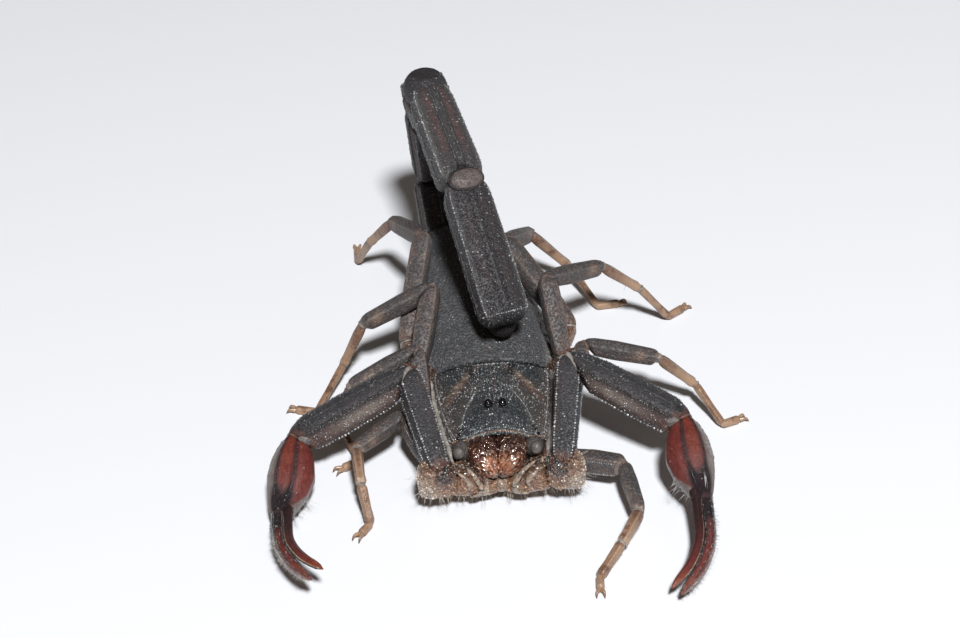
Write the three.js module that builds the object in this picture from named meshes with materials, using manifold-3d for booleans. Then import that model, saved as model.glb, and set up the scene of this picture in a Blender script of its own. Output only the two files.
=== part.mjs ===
// A scorpion that stands with its tail arched over its back, at life size.
// Millimetres, +Z up. The animal faces -Y and its own left side is +X. Its joints are placed from the
// middle of the carapace's front edge at floor level, and the finished model is moved to stand on the
// middle of its own outline.
import * as THREE from 'three';
import { mergeVertices } from 'three/addons/utils/BufferGeometryUtils.js';
import Module from 'manifold-3d';

const wasm = await Module();
wasm.setup();

// ---------------------------------------------------------------- driving dimensions

// Sections are given as [place along the piece from 0 to 1, width, height] and, where a piece bulges to
// one side, how far its section lies to that side.

const PLATE_GAP = 0.3; // membrane left open between neighbouring plates
const CUTTER = 100; // size of the block or drum that trims a piece

const CARAPACE = { length: 8.75, frontHalf: 3.35, rearHalf: 4.62, edge: 4.45, thickness: 0.85 };
const PLATE_RIM = 0.45; // thickness of a plate's side edges
const PLATE_ROUNDNESS = 2.4; // power of the curve across a plate's back
const CARAPACE_NOTCH = { radius: 5.6, depth: 0.65 }; // the front edge is hollowed between its corners
// Height of the carapace's back at each place behind the front edge; the eyes sit on the highest one.
const CARAPACE_CROWNS = [[0, 5.35], [0.5, 5.5], [1.7, 5.75], [2.4, 6.0], [3.2, 6.02], [4.2, 5.75], [6.0, 5.6],
  [8.75, 5.5]];
const EYE = { radius: 0.36, apart: 1.1, behindFront: 2.85, height: 6.12, gap: 0.16 };
// Sections of a chelicera from its base to its tip: [y, middle height, width, height].
const CHELICERA_SECTIONS = [[1.2, 3.5, 1.5, 0.9], [-0.5, 3.7, 2.0, 1.95], [-1.5, 3.5, 2.0, 1.95],
  [-2.15, 3.1, 1.5, 1.5], [-2.55, 2.75, 0.95, 0.95], [-2.8, 2.5, 0.5, 0.5]];
const CHELICERA_HALF_GAP = 0.15; // from the animal's middle to the inner face

// The trunk bends to the animal's right behind the carapace.
const TRUNK = { start: 9.05, length: 18.4, swing: -2.6, swingPower: 1.4, halfWidth: 5.15, edge: 4.35 };
const TERGITE_LENGTHS = [1.5, 1.9, 2.3, 2.6, 2.8, 3.1, 3.6];
const TERGITE_CROWNS = [5.6, 5.8, 6.0, 6.15, 6.2, 6.2, 6.2, 6.3];
const TERGITE = { thickness: 1.0, hindLift: 0.12 }; // each hind edge rises over the front of the next plate
const BELLY = { bottom: 1.6, top: 3.75, tailLift: 1.7, frontHalf: 0.9, flare: 0.95 };
const BELLY_STATIONS = [0.02, 0.13, 0.23, 0.4, 0.6, 0.75, 0.88, 0.97];
const BREAST = { start: [0, 0.6, 2.0], end: [0, 9.0, 2.2], sections: [[0, 2.2, 0.9], [0.3, 3.0, 1.2],
  [1, 3.0, 1.3]] };
const PECTEN = { root: [0.5, 9.9, 1.0], heading: 32.7, length: 5.4, sections: [[0, 1.3, 0.5], [0.5, 1.1, 0.5],
  [1, 0.6, 0.5]], teeth: 5, toothWidth: 0.5, toothThickness: 0.46, longestTooth: 1.15, shortestTooth: 0.8 };

// Tail joints, from the trunk's end to the end of the fifth ring, and the section of each ring.
const TAIL_JOINTS = [[-2.6, 27.6, 4.6], [-2.9, 31.9, 7.6], [-3.3, 30.9, 14.7], [-3.5, 25.2, 20.5],
  [-1.2, 16.9, 16.7], [1.35, 8.8, 9.2]];
const TAIL_WIDTHS = [[3.5, 3.8], [3.4, 3.6], [3.4, 3.8], [3.4, 3.7], [3.6, 4.15]];
const TAIL_HEIGHTS = [[3.1, 3.3], [3.1, 3.3], [3.1, 3.3], [3.2, 3.3], [3.1, 3.1]];
const RING_ENDS = { first: 0.72, last: 0.74 }; // size of a ring's two ends against its full section
const TAIL_LEAN = 18; // turn of the tail's cross direction from +X, in degrees
// The telson is folded under the fifth ring; its sting curves down over the back.
const TELSON_PATH = [[1.2, 10.0, 7.35], [1.1, 11.2, 7.45], [0.95, 12.6, 7.7], [0.75, 13.8, 8.0]];
const TELSON_SECTIONS = [[0, 1.2, 1.1], [0.12, 1.9, 1.7], [0.35, 2.6, 2.3], [0.6, 2.7, 2.3], [0.8, 2.1, 1.8],
  [0.93, 1.4, 1.3], [1, 1.0, 1.0]];
const STING_PATH = [[0.7, 14.15, 8.1], [0.58, 15.2, 8.15], [0.5, 16.0, 7.75], [0.46, 16.4, 7.0]];
const STING_SECTIONS = [[0, 0.95, 0.95], [0.25, 0.8, 0.8], [0.6, 0.6, 0.6], [1, 0.5, 0.5]];

// Segment lengths of the walking legs: femur, patella, tibia, basitarsus, telotarsus.
const LEG_LENGTHS = { 1: [4.7, 4.7, 3.3, 3.0, 1.3], 2: [6.0, 5.8, 4.4, 3.8, 1.5],
  3: [6.4, 6.1, 4.8, 4.7, 1.8], 4: [8.9, 6.3, 5.3, 4.3, 1.9] };
const LEG_GIRTH = { 1: 0.95, 2: 1.0, 3: 1.05, 4: 1.08 };
const LEG_FEMUR_SECTIONS = [[-0.02, 1.1, 1.3], [0.12, 1.4, 1.65], [0.5, 1.7, 1.9], [0.93, 1.6, 1.75],
  [1.03, 1.1, 1.2]];
const LEG_PATELLA_SECTIONS = [[-0.04, 0.85, 0.95], [0.1, 1.2, 1.32], [0.4, 1.3, 1.48], [0.9, 1.15, 1.28],
  [1.02, 0.85, 0.95]];
// From the tibia's start (0) past the ankle (1) and the heel (2) to the toe (3).
const LEG_FOOT_SECTIONS = [[-0.02, 0.75, 0.8], [0.2, 0.95, 1.07], [0.92, 0.82, 0.9], [1.05, 0.76, 0.82],
  [2, 0.72, 0.8], [2.9, 0.76, 0.84], [3.05, 0.56, 0.62]];
const FOOT_AXIS = 0.34; // height of a foot's middle line above the floor
const HEEL_LIFT = 0.05; // height of the heel's middle above that line
// A claw leaves the toe's middle and ends `reach` further on and `spread` to its side.
const LEG_CLAW = { reach: 0.75, spread: 0.42, tipHeight: 0.25, sections: [[0, 0.5, 0.5], [0.5, 0.52, 0.52],
  [1, 0.48, 0.48]] };
// Each leg starts at its hip; each segment then has a heading (from +X towards +Y) and a pitch, in degrees.
// The basitarsus comes down to the floor and the telotarsus lies on it, so they have a heading only.
const LEGS = {
  L1: { hip: [5.0, 0.5, 2.2], turns: [[-25, 6], [-82, -8], [-120, -8]], foot: [-131, -94] },
  L2: { hip: [5.2, 4.7, 3.3], turns: [[65, 25], [-20, -2], [10, -47]], foot: [-56, 22] },
  L3: { hip: [5.7, 9.5, 4.8], turns: [[100, 44], [37, -16], [22, -44]], foot: [25, 38] },
  L4: { hip: [6.6, 13.3, 5.0], turns: [[124, 26], [66, -27], [10, -50]], foot: [-62, 7] },
  R1: { hip: [-5.0, 0.6, 2.2], turns: [[118, 27], [-143, -8], [-86, -15]], foot: [-74, -126] },
  R2: { hip: [-5.4, 4.4, 3.0], turns: [[93, 42], [-161, -17], [151, -75]], foot: [-70, -152] },
  R3: { hip: [-5.5, 9.4, 5.1], turns: [[75, 35], [-172, -24], [159, -66]], foot: [-120, 162] },
  R4: { hip: [-6.35, 13.0, 4.8], turns: [[75, 34], [113, -19], [126, -48]], foot: [114, 90] },
};
// Where each leg's coxa starts on the breastplate, and the sections of coxa and trochanter up to the hip.
const COXA_ROOTS = { 1: [0.9, 1.7, 1.95], 2: [0.9, 3.6, 2.1], 3: [0.9, 5.6, 2.3], 4: [0.9, 7.8, 2.35] };
const COXA_SECTIONS = [[0, 1.7, 1.6], [0.62, 1.7, 1.6], [0.7, 1.35, 1.4], [0.85, 1.7, 1.7], [1.02, 1.2, 1.3]];
const COXA_SHARE = 0.72; // part of the way to the hip that the coxa takes
const COXA_RISE = 0.4; // part of the climb to the hip that the coxa makes

// Pedipalp lengths: femur, patella, hand, fingers.
const PALP_LENGTHS = [7.7, 9.7, 5.8, 9.4];
const PALPS = {
  L: { hip: [4.7, -1.8, 4.3], turns: [[80, 28], [-32, -15], [-88, -23], [-107, -9]], bow: 1.15, open: 0 },
  R: { hip: [-4.7, -1.8, 4.3], turns: [[104, 24], [-164, -20], [-99, -24], [-74, 10]], bow: 1.15, open: 0.2 },
};
const PALP_COXA_PATH = [[0.3, -1.2, 1.65], [1.6, -1.3, 1.65], [2.7, -1.5, 2.15], [3.25, -1.7, 2.55]];
const PALP_COXA_SECTIONS = [[0, 2.0, 0.7], [0.4, 2.4, 0.85], [0.75, 2.6, 1.9], [1, 2.2, 2.3]];
const TROCHANTER = { middle: [4.95, -2.2, 3.15], length: 2.4 };
const TROCHANTER_SECTIONS = [[0, 1.7, 1.9], [0.2, 2.5, 2.85], [0.5, 2.8, 3.1], [0.8, 2.5, 2.8],
  [1, 1.7, 1.9]];
const PALP_FEMUR_SECTIONS = [[0.02, 1.5, 1.6], [0.1, 1.9, 2.1], [0.5, 2.1, 2.35], [0.9, 2.2, 2.5],
  [1.0, 1.9, 2.1], [1.04, 1.5, 1.7]];
const PALP_PATELLA_SECTIONS = [[-0.05, 1.4, 1.6], [0.04, 1.9, 2.0], [0.25, 2.4, 2.5], [0.6, 2.6, 2.6],
  [0.88, 2.5, 2.5], [0.97, 2.0, 2.0], [1.03, 1.6, 1.6]];
const HAND_SECTIONS = [[-0.02, 1.5, 1.6], [0.07, 2.2, 2.2], [0.3, 3.2, 3.0], [0.58, 3.6, 3.2],
  [0.86, 2.9, 2.7, 0.15], [1.06, 1.9, 1.9, 0.35]];
// Both fingers bow outwards along one curve. Each lies `outward` of it and `above` it.
const FIXED_FINGER = { outward: -0.08, above: 0.3 };
const MOVABLE_FINGER = { outward: 0.88, above: -0.35 };
const FINGER_SECTIONS = [[0, 1.1, 1.6], [0.15, 1.0, 1.35], [0.45, 0.88, 1.1], [0.75, 0.82, 0.95],
  [0.93, 0.65, 0.7], [1, 0.5, 0.5]];

// ---------------------------------------------------------------- colours

const shell = new THREE.MeshStandardMaterial({ color: 0x2b2a2d, roughness: 0.6, metalness: 0 });
const belly = new THREE.MeshStandardMaterial({ color: 0x5a4a3c, roughness: 0.6, metalness: 0 });
const legShell = new THREE.MeshStandardMaterial({ color: 0x4d423b, roughness: 0.55, metalness: 0 });
const footShell = new THREE.MeshStandardMaterial({ color: 0x9a6a3f, roughness: 0.5, metalness: 0 });
const redShell = new THREE.MeshStandardMaterial({ color: 0x5a1d16, roughness: 0.45, metalness: 0 });
const jawShell = new THREE.MeshStandardMaterial({ color: 0x7a2b18, roughness: 0.3, metalness: 0 });
const eyeGlass = new THREE.MeshStandardMaterial({ color: 0x050506, roughness: 0.08, metalness: 0 });

// ---------------------------------------------------------------- solids

const UP = new THREE.Vector3(0, 0, 1);
const LEFT = new THREE.Vector3(1, 0, 0);
const vec = (p) => new THREE.Vector3(...p);
const lerp = THREE.MathUtils.lerp;
const radians = THREE.MathUtils.degToRad;

function toSolid(geometry) {
  geometry.deleteAttribute('normal');
  geometry.deleteAttribute('uv');
  const merged = mergeVertices(geometry, 1e-5);
  const mesh = new wasm.Mesh({
    numProp: 3,
    vertProperties: Float32Array.from(merged.attributes.position.array),
    triVerts: Uint32Array.from(merged.index.array),
  });
  return new wasm.Manifold(mesh);
}

function toGeometry(solid) {
  const mesh = solid.getMesh();
  const geometry = new THREE.BufferGeometry();
  geometry.setAttribute('position', new THREE.BufferAttribute(mesh.vertProperties, 3));
  geometry.setIndex(new THREE.BufferAttribute(mesh.triVerts, 1));
  geometry.computeVertexNormals();
  return geometry;
}

// Section outlines: each takes a point of the unit circle and gives one of the unit section.
const oval = (x, z) => [x, z];
const blunt = (value, power) => Math.sign(value) * Math.abs(value) ** power;
const squared = (power) => (x, z) => [blunt(x, power), blunt(z, power)];
const prism = squared(0.6);
const ridged = squared(0.78);

// Bends a capped cylinder into a solid: ring k of the cylinder becomes the section at station k.
// A station holds its middle point, the directions of its width and height, and their half sizes.
function loft(stations, outline = oval, sides = 10) {
  const rings = stations.length - 1;
  const geometry = new THREE.CylinderGeometry(1, 1, rings, sides, rings);
  const position = geometry.attributes.position;
  const point = new THREE.Vector3();
  for (let i = 0; i < position.count; i += 1) {
    const station = stations[Math.round(position.getY(i) + rings / 2)];
    const [across, upward] = outline(position.getX(i), position.getZ(i), station);
    point.copy(station.at);
    point.addScaledVector(station.side, across * station.halfWidth);
    point.addScaledVector(station.up, upward * station.halfHeight);
    position.setXYZ(i, point.x, point.y, point.z);
  }
  return toSolid(geometry);
}

// Stations along a smooth curve through `points`. `sizes` lists [place along the curve, width, height] and,
// for a piece that bulges to one side, how far its section lies to that side.
function along(points, sizes, upward = UP) {
  const curve = points.length > 2
    ? new THREE.CatmullRomCurve3(points, false, 'centripetal')
    : new THREE.LineCurve3(...points);
  return sizes.map(([place, width, height, sideways = 0]) => {
    const inside = THREE.MathUtils.clamp(place, 0, 1);
    const at = curve.getPointAt(inside);
    const forward = curve.getTangentAt(inside);
    at.addScaledVector(forward, (place - inside) * curve.getLength());
    const side = new THREE.Vector3().crossVectors(forward, upward).normalize();
    const up = new THREE.Vector3().crossVectors(side, forward).normalize();
    at.addScaledVector(side, sideways);
    return { at, side, up, halfWidth: width / 2, halfHeight: height / 2 };
  });
}

// A block that fills the half space beyond `point` in the direction of `normal`.
function halfSpace(point, normal) {
  const block = new THREE.BoxGeometry(CUTTER, CUTTER, CUTTER);
  block.translate(0, 0, CUTTER / 2);
  block.applyQuaternion(new THREE.Quaternion().setFromUnitVectors(UP, normal));
  block.translate(point.x, point.y, point.z);
  return toSolid(block);
}

// Trims a segment where the next one starts, on the plane that halves the bend between them.
function trimJoint(solid, joint, inward, outward) {
  const normal = inward.clone().add(outward).normalize();
  const face = joint.clone().addScaledVector(normal, -PLATE_GAP / 2);
  return solid.subtract(halfSpace(face, normal));
}

const direction = (from, to) => to.clone().sub(from).normalize();

// The unit vector of a heading and a pitch in degrees.
function heading([turn, pitch]) {
  const [h, p] = [radians(turn), radians(pitch)];
  return new THREE.Vector3(Math.cos(p) * Math.cos(h), Math.cos(p) * Math.sin(h), Math.sin(p));
}

// Joint points of a chain of segments from its first joint.
function chain(start, lengths, turns) {
  const joints = [vec(start)];
  turns.forEach((turn, i) => joints.push(joints[i].clone().addScaledVector(heading(turn), lengths[i])));
  return joints;
}

// One segment between joints i and i + 1 of a chain, trimmed against its neighbours.
function segment(joints, i, sizes, outline, sides, upward = UP) {
  let solid = loft(along([joints[i], joints[i + 1]], sizes, upward), outline, sides);
  const forward = direction(joints[i], joints[i + 1]);
  const before = i > 0 ? direction(joints[i - 1], joints[i]) : forward;
  const after = i + 2 < joints.length ? direction(joints[i + 1], joints[i + 2]) : forward;
  solid = trimJoint(solid, joints[i + 1], forward, after);
  return trimJoint(solid, joints[i], forward.clone().negate(), before.clone().negate());
}

const union = (solids) => solids.reduce((sum, solid) => sum.add(solid));
const cutBy = (solid, cutters) => cutters.reduce((rest, cutter) => rest.subtract(cutter), solid);

// ---------------------------------------------------------------- trunk plates

// Section of an arched plate: a rounded back, a hollow underside and a thin rim at both edges.
function arched(x, z, plate) {
  if (x === 0 && z === 0) {
    return [0, plate.crown - plate.thickness / 2];
  }
  if (z > -1e-6) {
    return [x, plate.edge + (plate.crown - plate.edge) * (1 - Math.abs(x) ** PLATE_ROUNDNESS)];
  }
  const under = plate.edge - PLATE_RIM;
  return [x, under + (plate.crown - plate.thickness - under) * (1 - x * x)];
}

function archedStation(at, side, halfWidth, crown, edge, thickness) {
  return { at, side, up: UP, halfWidth, halfHeight: 1, crown, edge, thickness };
}

function carapaceSolid() {
  const side = LEFT;
  const { length, frontHalf, rearHalf } = CARAPACE;
  const widen = (y) => lerp(frontHalf, rearHalf, Math.sin((y / length) * (Math.PI / 2)));
  const stations = CARAPACE_CROWNS.map(([y, crown]) =>
    archedStation(new THREE.Vector3(0, y, 0), side, widen(y), crown, CARAPACE.edge, CARAPACE.thickness));
  const { radius, depth } = CARAPACE_NOTCH;
  const notch = new THREE.CylinderGeometry(radius, radius, CUTTER, 32);
  notch.rotateX(Math.PI / 2);
  notch.translate(0, depth - radius, 0);
  return loft(stations, arched, 16).subtract(toSolid(notch));
}

function eyeSolid(sideSign, grow = 0) {
  const ball = new THREE.IcosahedronGeometry(EYE.radius + grow, 1);
  ball.translate((sideSign * EYE.apart) / 2, EYE.behindFront, EYE.height);
  return toSolid(ball);
}

// Middle line of the trunk behind the carapace.
function trunkPoint(distance) {
  const share = Math.max(distance, 0) / TRUNK.length;
  return new THREE.Vector3(TRUNK.swing * share ** TRUNK.swingPower, TRUNK.start + distance, 0);
}

function trunkSide(distance) {
  const forward = direction(trunkPoint(distance - 0.1), trunkPoint(distance + 0.1));
  return new THREE.Vector3().crossVectors(forward, UP).normalize();
}

// Half width of the trunk: widest at a third, narrowing to the root of the tail.
function trunkHalf(distance) {
  const share = distance / TRUNK.length;
  const shoulder = 0.92 + 0.08 * Math.sin(Math.min(share / 0.35, 1) * (Math.PI / 2));
  const taper = share < 0.45 ? 1 : 1 - 0.56 * ((share - 0.45) / 0.55) ** 1.7;
  return TRUNK.halfWidth * shoulder * taper;
}

const trunkEdge = (share) => TRUNK.edge + 0.25 * share;

function tergiteSolid(index) {
  const start = TERGITE_LENGTHS.slice(0, index).reduce((sum, length) => sum + length, 0);
  const end = start + TERGITE_LENGTHS[index] - PLATE_GAP;
  const stations = [0, 0.5, 1].map((share) => {
    const distance = lerp(start, end, share);
    const crown = lerp(TERGITE_CROWNS[index], TERGITE_CROWNS[index + 1], share) + TERGITE.hindLift * share;
    const edge = trunkEdge(distance / TRUNK.length);
    return archedStation(trunkPoint(distance), trunkSide(distance), trunkHalf(distance), crown, edge,
      TERGITE.thickness);
  });
  return loft(stations, arched, 14);
}

function bellySolid() {
  const stations = BELLY_STATIONS.map((share) => {
    const distance = share * TRUNK.length;
    // The front end is a wedge between the hindmost pair of coxae.
    const wedge = BELLY.frontHalf + distance * BELLY.flare;
    const bottom = BELLY.bottom + BELLY.tailLift * share ** 3;
    const at = trunkPoint(distance).setZ((bottom + BELLY.top) / 2);
    const halfWidth = Math.min(trunkHalf(distance) * 0.96, wedge);
    return { at, side: trunkSide(distance), up: UP, halfWidth, halfHeight: (BELLY.top - bottom) / 2 };
  });
  return loft(stations, squared(0.7), 10);
}

function breastSolid() {
  return loft(along([vec(BREAST.start), vec(BREAST.end)], BREAST.sections), prism, 8);
}

// The coxa's start on the breastplate, and its far end.
function legRootJoints(name) {
  const [x, y, z] = COXA_ROOTS[Number(name.slice(1))];
  const hip = vec(LEGS[name].hip);
  const root = new THREE.Vector3(name.startsWith('L') ? x : -x, y, z);
  const bend = root.clone().lerp(hip, COXA_SHARE);
  bend.z = lerp(root.z, hip.z, COXA_RISE);
  return [root, bend];
}

// Coxa and trochanter of one leg, from the breastplate to the hip.
function legRoot(name, grow = 0) {
  const [root, bend] = legRootJoints(name);
  const hip = vec(LEGS[name].hip);
  const grown = ([place, width, height]) => [place, width + 2 * grow, height + 2 * grow];
  const solid = loft(along([root, bend, hip], COXA_SECTIONS.map(grown)), ridged, 7);
  return grow > 0 ? solid : trimJoint(solid, hip, direction(bend, hip), heading(LEGS[name].turns[0]));
}

function pectenSolid(mirror) {
  const mirrored = ([x, y, z]) => new THREE.Vector3(x * mirror, y, z);
  const outwards = heading([PECTEN.heading, 0]);
  const backwards = heading([PECTEN.heading + 90, 0]);
  outwards.x *= mirror;
  backwards.x *= mirror;
  const start = mirrored(PECTEN.root);
  const end = start.clone().addScaledVector(outwards, PECTEN.length);
  const teeth = [];
  for (let i = 0; i < PECTEN.teeth; i += 1) {
    const share = (i + 0.7) / PECTEN.teeth;
    const root = start.clone().lerp(end, share);
    const length = lerp(PECTEN.longestTooth, PECTEN.shortestTooth, share);
    const tip = root.clone().addScaledVector(backwards, length);
    const sections = [0, 1].map((place) => [place, PECTEN.toothWidth, PECTEN.toothThickness]);
    teeth.push(loft(along([root, tip], sections), oval, 4));
  }
  return union([loft(along([start, end], PECTEN.sections), prism, 6), ...teeth]);
}

// Each section keeps its inner face along the animal's middle.
function cheliceraSolid(mirror) {
  const side = new THREE.Vector3(-1, 0, 0);
  const stations = CHELICERA_SECTIONS.map(([y, z, width, height]) => {
    const at = new THREE.Vector3((CHELICERA_HALF_GAP + width / 2) * mirror, y, z);
    return { at, side, up: UP, halfWidth: width / 2, halfHeight: height / 2 };
  });
  return loft(stations, ridged, 10);
}

// ---------------------------------------------------------------- tail

const tailJoints = TAIL_JOINTS.map(vec);

// The side of the tail that faces away from the back.
function tailOutward(index) {
  const forward = direction(tailJoints[index], tailJoints[index + 1]);
  return new THREE.Vector3().crossVectors(heading([TAIL_LEAN, 0]), forward).normalize();
}

function tailRing(index) {
  const [w0, w1] = TAIL_WIDTHS[index];
  const [h0, h1] = TAIL_HEIGHTS[index];
  const { first, last } = RING_ENDS;
  // A ring reaches a little past its joints, except at the trunk and at the telson.
  const start = index === 0 ? 0 : -0.06;
  const end = index === TAIL_WIDTHS.length - 1 ? 1 : 1.07;
  const sections = [[start, w0 * first, h0 * first], [0.03, w0 * 0.9, h0 * 0.9], [0.12, w0, h0],
    [0.88, w1, h1], [0.98, w1 * 0.94, h1 * 0.94], [end, w1 * last, h1 * last]];
  return segment(tailJoints, index, sections, prism, 12, tailOutward(index));
}

const telsonSolid = () => loft(along(TELSON_PATH.map(vec), TELSON_SECTIONS), oval, 10);

const stingSolid = () => loft(along(STING_PATH.map(vec), STING_SECTIONS, LEFT), oval, 8);

// ---------------------------------------------------------------- walking legs

// All joints of a leg: the two of its coxa, the hip, and those beyond it down to the toe.
function legJoints(name) {
  const { hip, turns, foot } = LEGS[name];
  const lengths = LEG_LENGTHS[Number(name.slice(1))];
  const joints = chain(hip, lengths, turns);
  const ankle = joints[3];
  const drop = THREE.MathUtils.radToDeg(Math.asin((FOOT_AXIS + HEEL_LIFT - ankle.z) / lengths[3]));
  joints.push(ankle.clone().addScaledVector(heading([foot[0], drop]), lengths[3]));
  const toe = joints[4].clone().addScaledVector(heading([foot[1], 0]), lengths[4]);
  joints.push(toe.setZ(FOOT_AXIS));
  return [...legRootJoints(name), ...joints];
}

function thicken(name, sections) {
  const girth = LEG_GIRTH[Number(name.slice(1))];
  return sections.map(([place, width, height]) => [place, width * girth, height * girth]);
}

const legFemur = (name) => segment(legJoints(name), 2, thicken(name, LEG_FEMUR_SECTIONS), ridged, 7);

const legPatella = (name) => segment(legJoints(name), 3, thicken(name, LEG_PATELLA_SECTIONS), ridged, 7);

function clawSolid(toe, forward, mirror) {
  const sideways = new THREE.Vector3().crossVectors(forward, UP).multiplyScalar(mirror);
  const tip = toe.clone().addScaledVector(forward, LEG_CLAW.reach).addScaledVector(sideways, LEG_CLAW.spread);
  const middle = toe.clone().lerp(tip, 0.5);
  tip.setZ(LEG_CLAW.tipHeight);
  return loft(along([toe, middle, tip], LEG_CLAW.sections), oval, 4);
}

// Stations along a bent chain of joints. `sizes` lists [place in joints, width, height]; a whole number
// is a joint, and the section there halves the bend. The sections don't twist about the chain.
function alongBends(joints, sizes) {
  const forwards = joints.slice(1).map((joint, i) => direction(joints[i], joint));
  let side = new THREE.Vector3().crossVectors(forwards[0], UP);
  return sizes.map(([place, width, height]) => {
    const i = THREE.MathUtils.clamp(Math.floor(place), 0, forwards.length - 1);
    const atJoint = Number.isInteger(place) && i > 0 && place < forwards.length;
    const forward = atJoint ? forwards[i - 1].clone().add(forwards[i]).normalize() : forwards[i];
    side = side.clone().addScaledVector(forward, -side.dot(forward)).normalize();
    const up = new THREE.Vector3().crossVectors(side, forward);
    const at = joints[i].clone().lerp(joints[i + 1], place - i);
    return { at, side, up, halfWidth: width / 2, halfHeight: height / 2 };
  });
}

// Tibia, basitarsus, telotarsus and the two claws, as one piece with a flat sole.
function legFoot(name) {
  const [, , , knee, start, ankle, heel, toe] = legJoints(name);
  const limb = loft(alongBends([start, ankle, heel, toe], LEG_FOOT_SECTIONS), oval, 7);
  const trimmed = trimJoint(limb, start, direction(ankle, start), direction(start, knee));
  const forward = direction(heel, toe).setZ(0).normalize();
  const claws = [1, -1].map((mirror) => clawSolid(toe, forward, mirror));
  const floor = halfSpace(new THREE.Vector3(0, 0, 0), new THREE.Vector3(0, 0, -1));
  return union([trimmed, ...claws]).subtract(floor);
}

// ---------------------------------------------------------------- pedipalps

// The middle of the trochanter, then the joints from the hip to the fingertips.
function palpJoints(name) {
  const [x, y, z] = TROCHANTER.middle;
  const root = new THREE.Vector3(name === 'L' ? x : -x, y, z);
  return [root, ...chain(PALPS[name].hip, PALP_LENGTHS, PALPS[name].turns)];
}

function palpTrochanter(name) {
  const [middle, hip, elbow] = palpJoints(name);
  const half = new THREE.Vector3(0, TROCHANTER.length / 2, 0);
  const ends = [middle.clone().sub(half), middle.clone().add(half)];
  const solid = loft(along(ends, TROCHANTER_SECTIONS), oval, 10);
  return trimJoint(solid, hip, direction(middle, hip), direction(hip, elbow));
}

function palpCoxa(mirror) {
  const points = PALP_COXA_PATH.map(([x, y, z]) => new THREE.Vector3(x * mirror, y, z));
  return loft(along(points, PALP_COXA_SECTIONS), prism, 10);
}

const palpFemur = (name) => segment(palpJoints(name), 1, PALP_FEMUR_SECTIONS, prism, 10);

const palpPatella = (name) => segment(palpJoints(name), 2, PALP_PATELLA_SECTIONS, ridged, 10);

// Stations of a finger, which may be opened outwards and grown on all sides.
function fingerStations(name, mirror, { outward, above }, open = 0, grow = 0) {
  const [, , , , knuckle, tip] = palpJoints(name);
  const across = new THREE.Vector3().crossVectors(direction(knuckle, tip), UP).normalize();
  across.multiplyScalar(-mirror);
  const { bow } = PALPS[name];
  const points = [0, 0.25, 0.5, 0.75, 1].map((share) => knuckle.clone().lerp(tip, share)
    .addScaledVector(across, bow * Math.sin(Math.PI * share ** 1.2)));
  return along(points, FINGER_SECTIONS).map((station, i) => {
    const share = FINGER_SECTIONS[i][0];
    const forward = new THREE.Vector3().crossVectors(station.up, station.side);
    station.at.addScaledVector(forward, share === 0 ? -grow : 0);
    const offset = outward + open * Math.sin(Math.PI * share);
    station.at.addScaledVector(station.side, -mirror * offset);
    station.at.addScaledVector(station.up, above);
    station.halfWidth += grow;
    station.halfHeight += grow;
    return station;
  });
}

function palpFinger(name, mirror, grow = 0) {
  return loft(fingerStations(name, mirror, MOVABLE_FINGER, PALPS[name].open, grow), oval, 8);
}

function palpHand(name, mirror) {
  const sided = ([place, width, height, outward = 0]) => [place, width, height, -outward * mirror];
  const hand = segment(palpJoints(name).slice(0, 5), 3, HAND_SECTIONS.map(sided), ridged, 12);
  const finger = loft(fingerStations(name, mirror, FIXED_FINGER), oval, 8);
  return hand.add(finger).subtract(palpFinger(name, mirror, PLATE_GAP));
}

// ---------------------------------------------------------------- assembly

const animal = new THREE.Group();

function addNode(name, solid, material) {
  const mesh = new THREE.Mesh(toGeometry(solid), material);
  mesh.name = name;
  animal.add(mesh);
}

const legNames = Object.keys(LEGS);
const legClearance = legNames.map((name) => legRoot(name, PLATE_GAP));

const eyePits = [1, -1].map((mirror) => eyeSolid(mirror, EYE.gap));

addNode('carapace', cutBy(carapaceSolid(), [...legClearance, ...eyePits]), shell);
TERGITE_LENGTHS.forEach((_, i) => addNode(`tergite_${i + 1}`, cutBy(tergiteSolid(i), legClearance), shell));
addNode('belly', cutBy(bellySolid(), legClearance), belly);
addNode('prosoma_underside', union([breastSolid(), ...legNames.map((name) => legRoot(name))]), belly);
tailJoints.slice(1).forEach((_, i) => addNode(`metasoma_${i + 1}`, tailRing(i), shell));
addNode('telson_vesicle', telsonSolid(), shell);
addNode('telson_aculeus', stingSolid(), redShell);

for (const [side, mirror] of [['L', 1], ['R', -1]]) {
  addNode(`eye_${side}`, eyeSolid(mirror), eyeGlass);
  addNode(`chelicera_${side}`, cheliceraSolid(mirror), jawShell);
  addNode(`pecten_${side}`, pectenSolid(mirror), belly);
  addNode(`pedipalp_${side}_coxa`, palpCoxa(mirror), belly);
  addNode(`pedipalp_${side}_trochanter`, palpTrochanter(side), belly);
  addNode(`pedipalp_${side}_femur`, palpFemur(side), shell);
  addNode(`pedipalp_${side}_patella`, palpPatella(side), shell);
  addNode(`pedipalp_${side}_hand`, palpHand(side, mirror), redShell);
  addNode(`pedipalp_${side}_finger`, palpFinger(side, mirror), redShell);
}

for (const name of legNames) {
  addNode(`leg_${name}_femur`, legFemur(name), legShell);
  addNode(`leg_${name}_patella`, legPatella(name), legShell);
  addNode(`leg_${name}_foot`, legFoot(name), footShell);
}

const outline = new THREE.Box3().setFromObject(animal);
const middle = outline.getCenter(new THREE.Vector3());
animal.position.set(-middle.x, -middle.y, -outline.min.z);

export default animal;
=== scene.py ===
"""Looks of a still, life-size scorpion that stands with its tail arched over its back."""
import math

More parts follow.
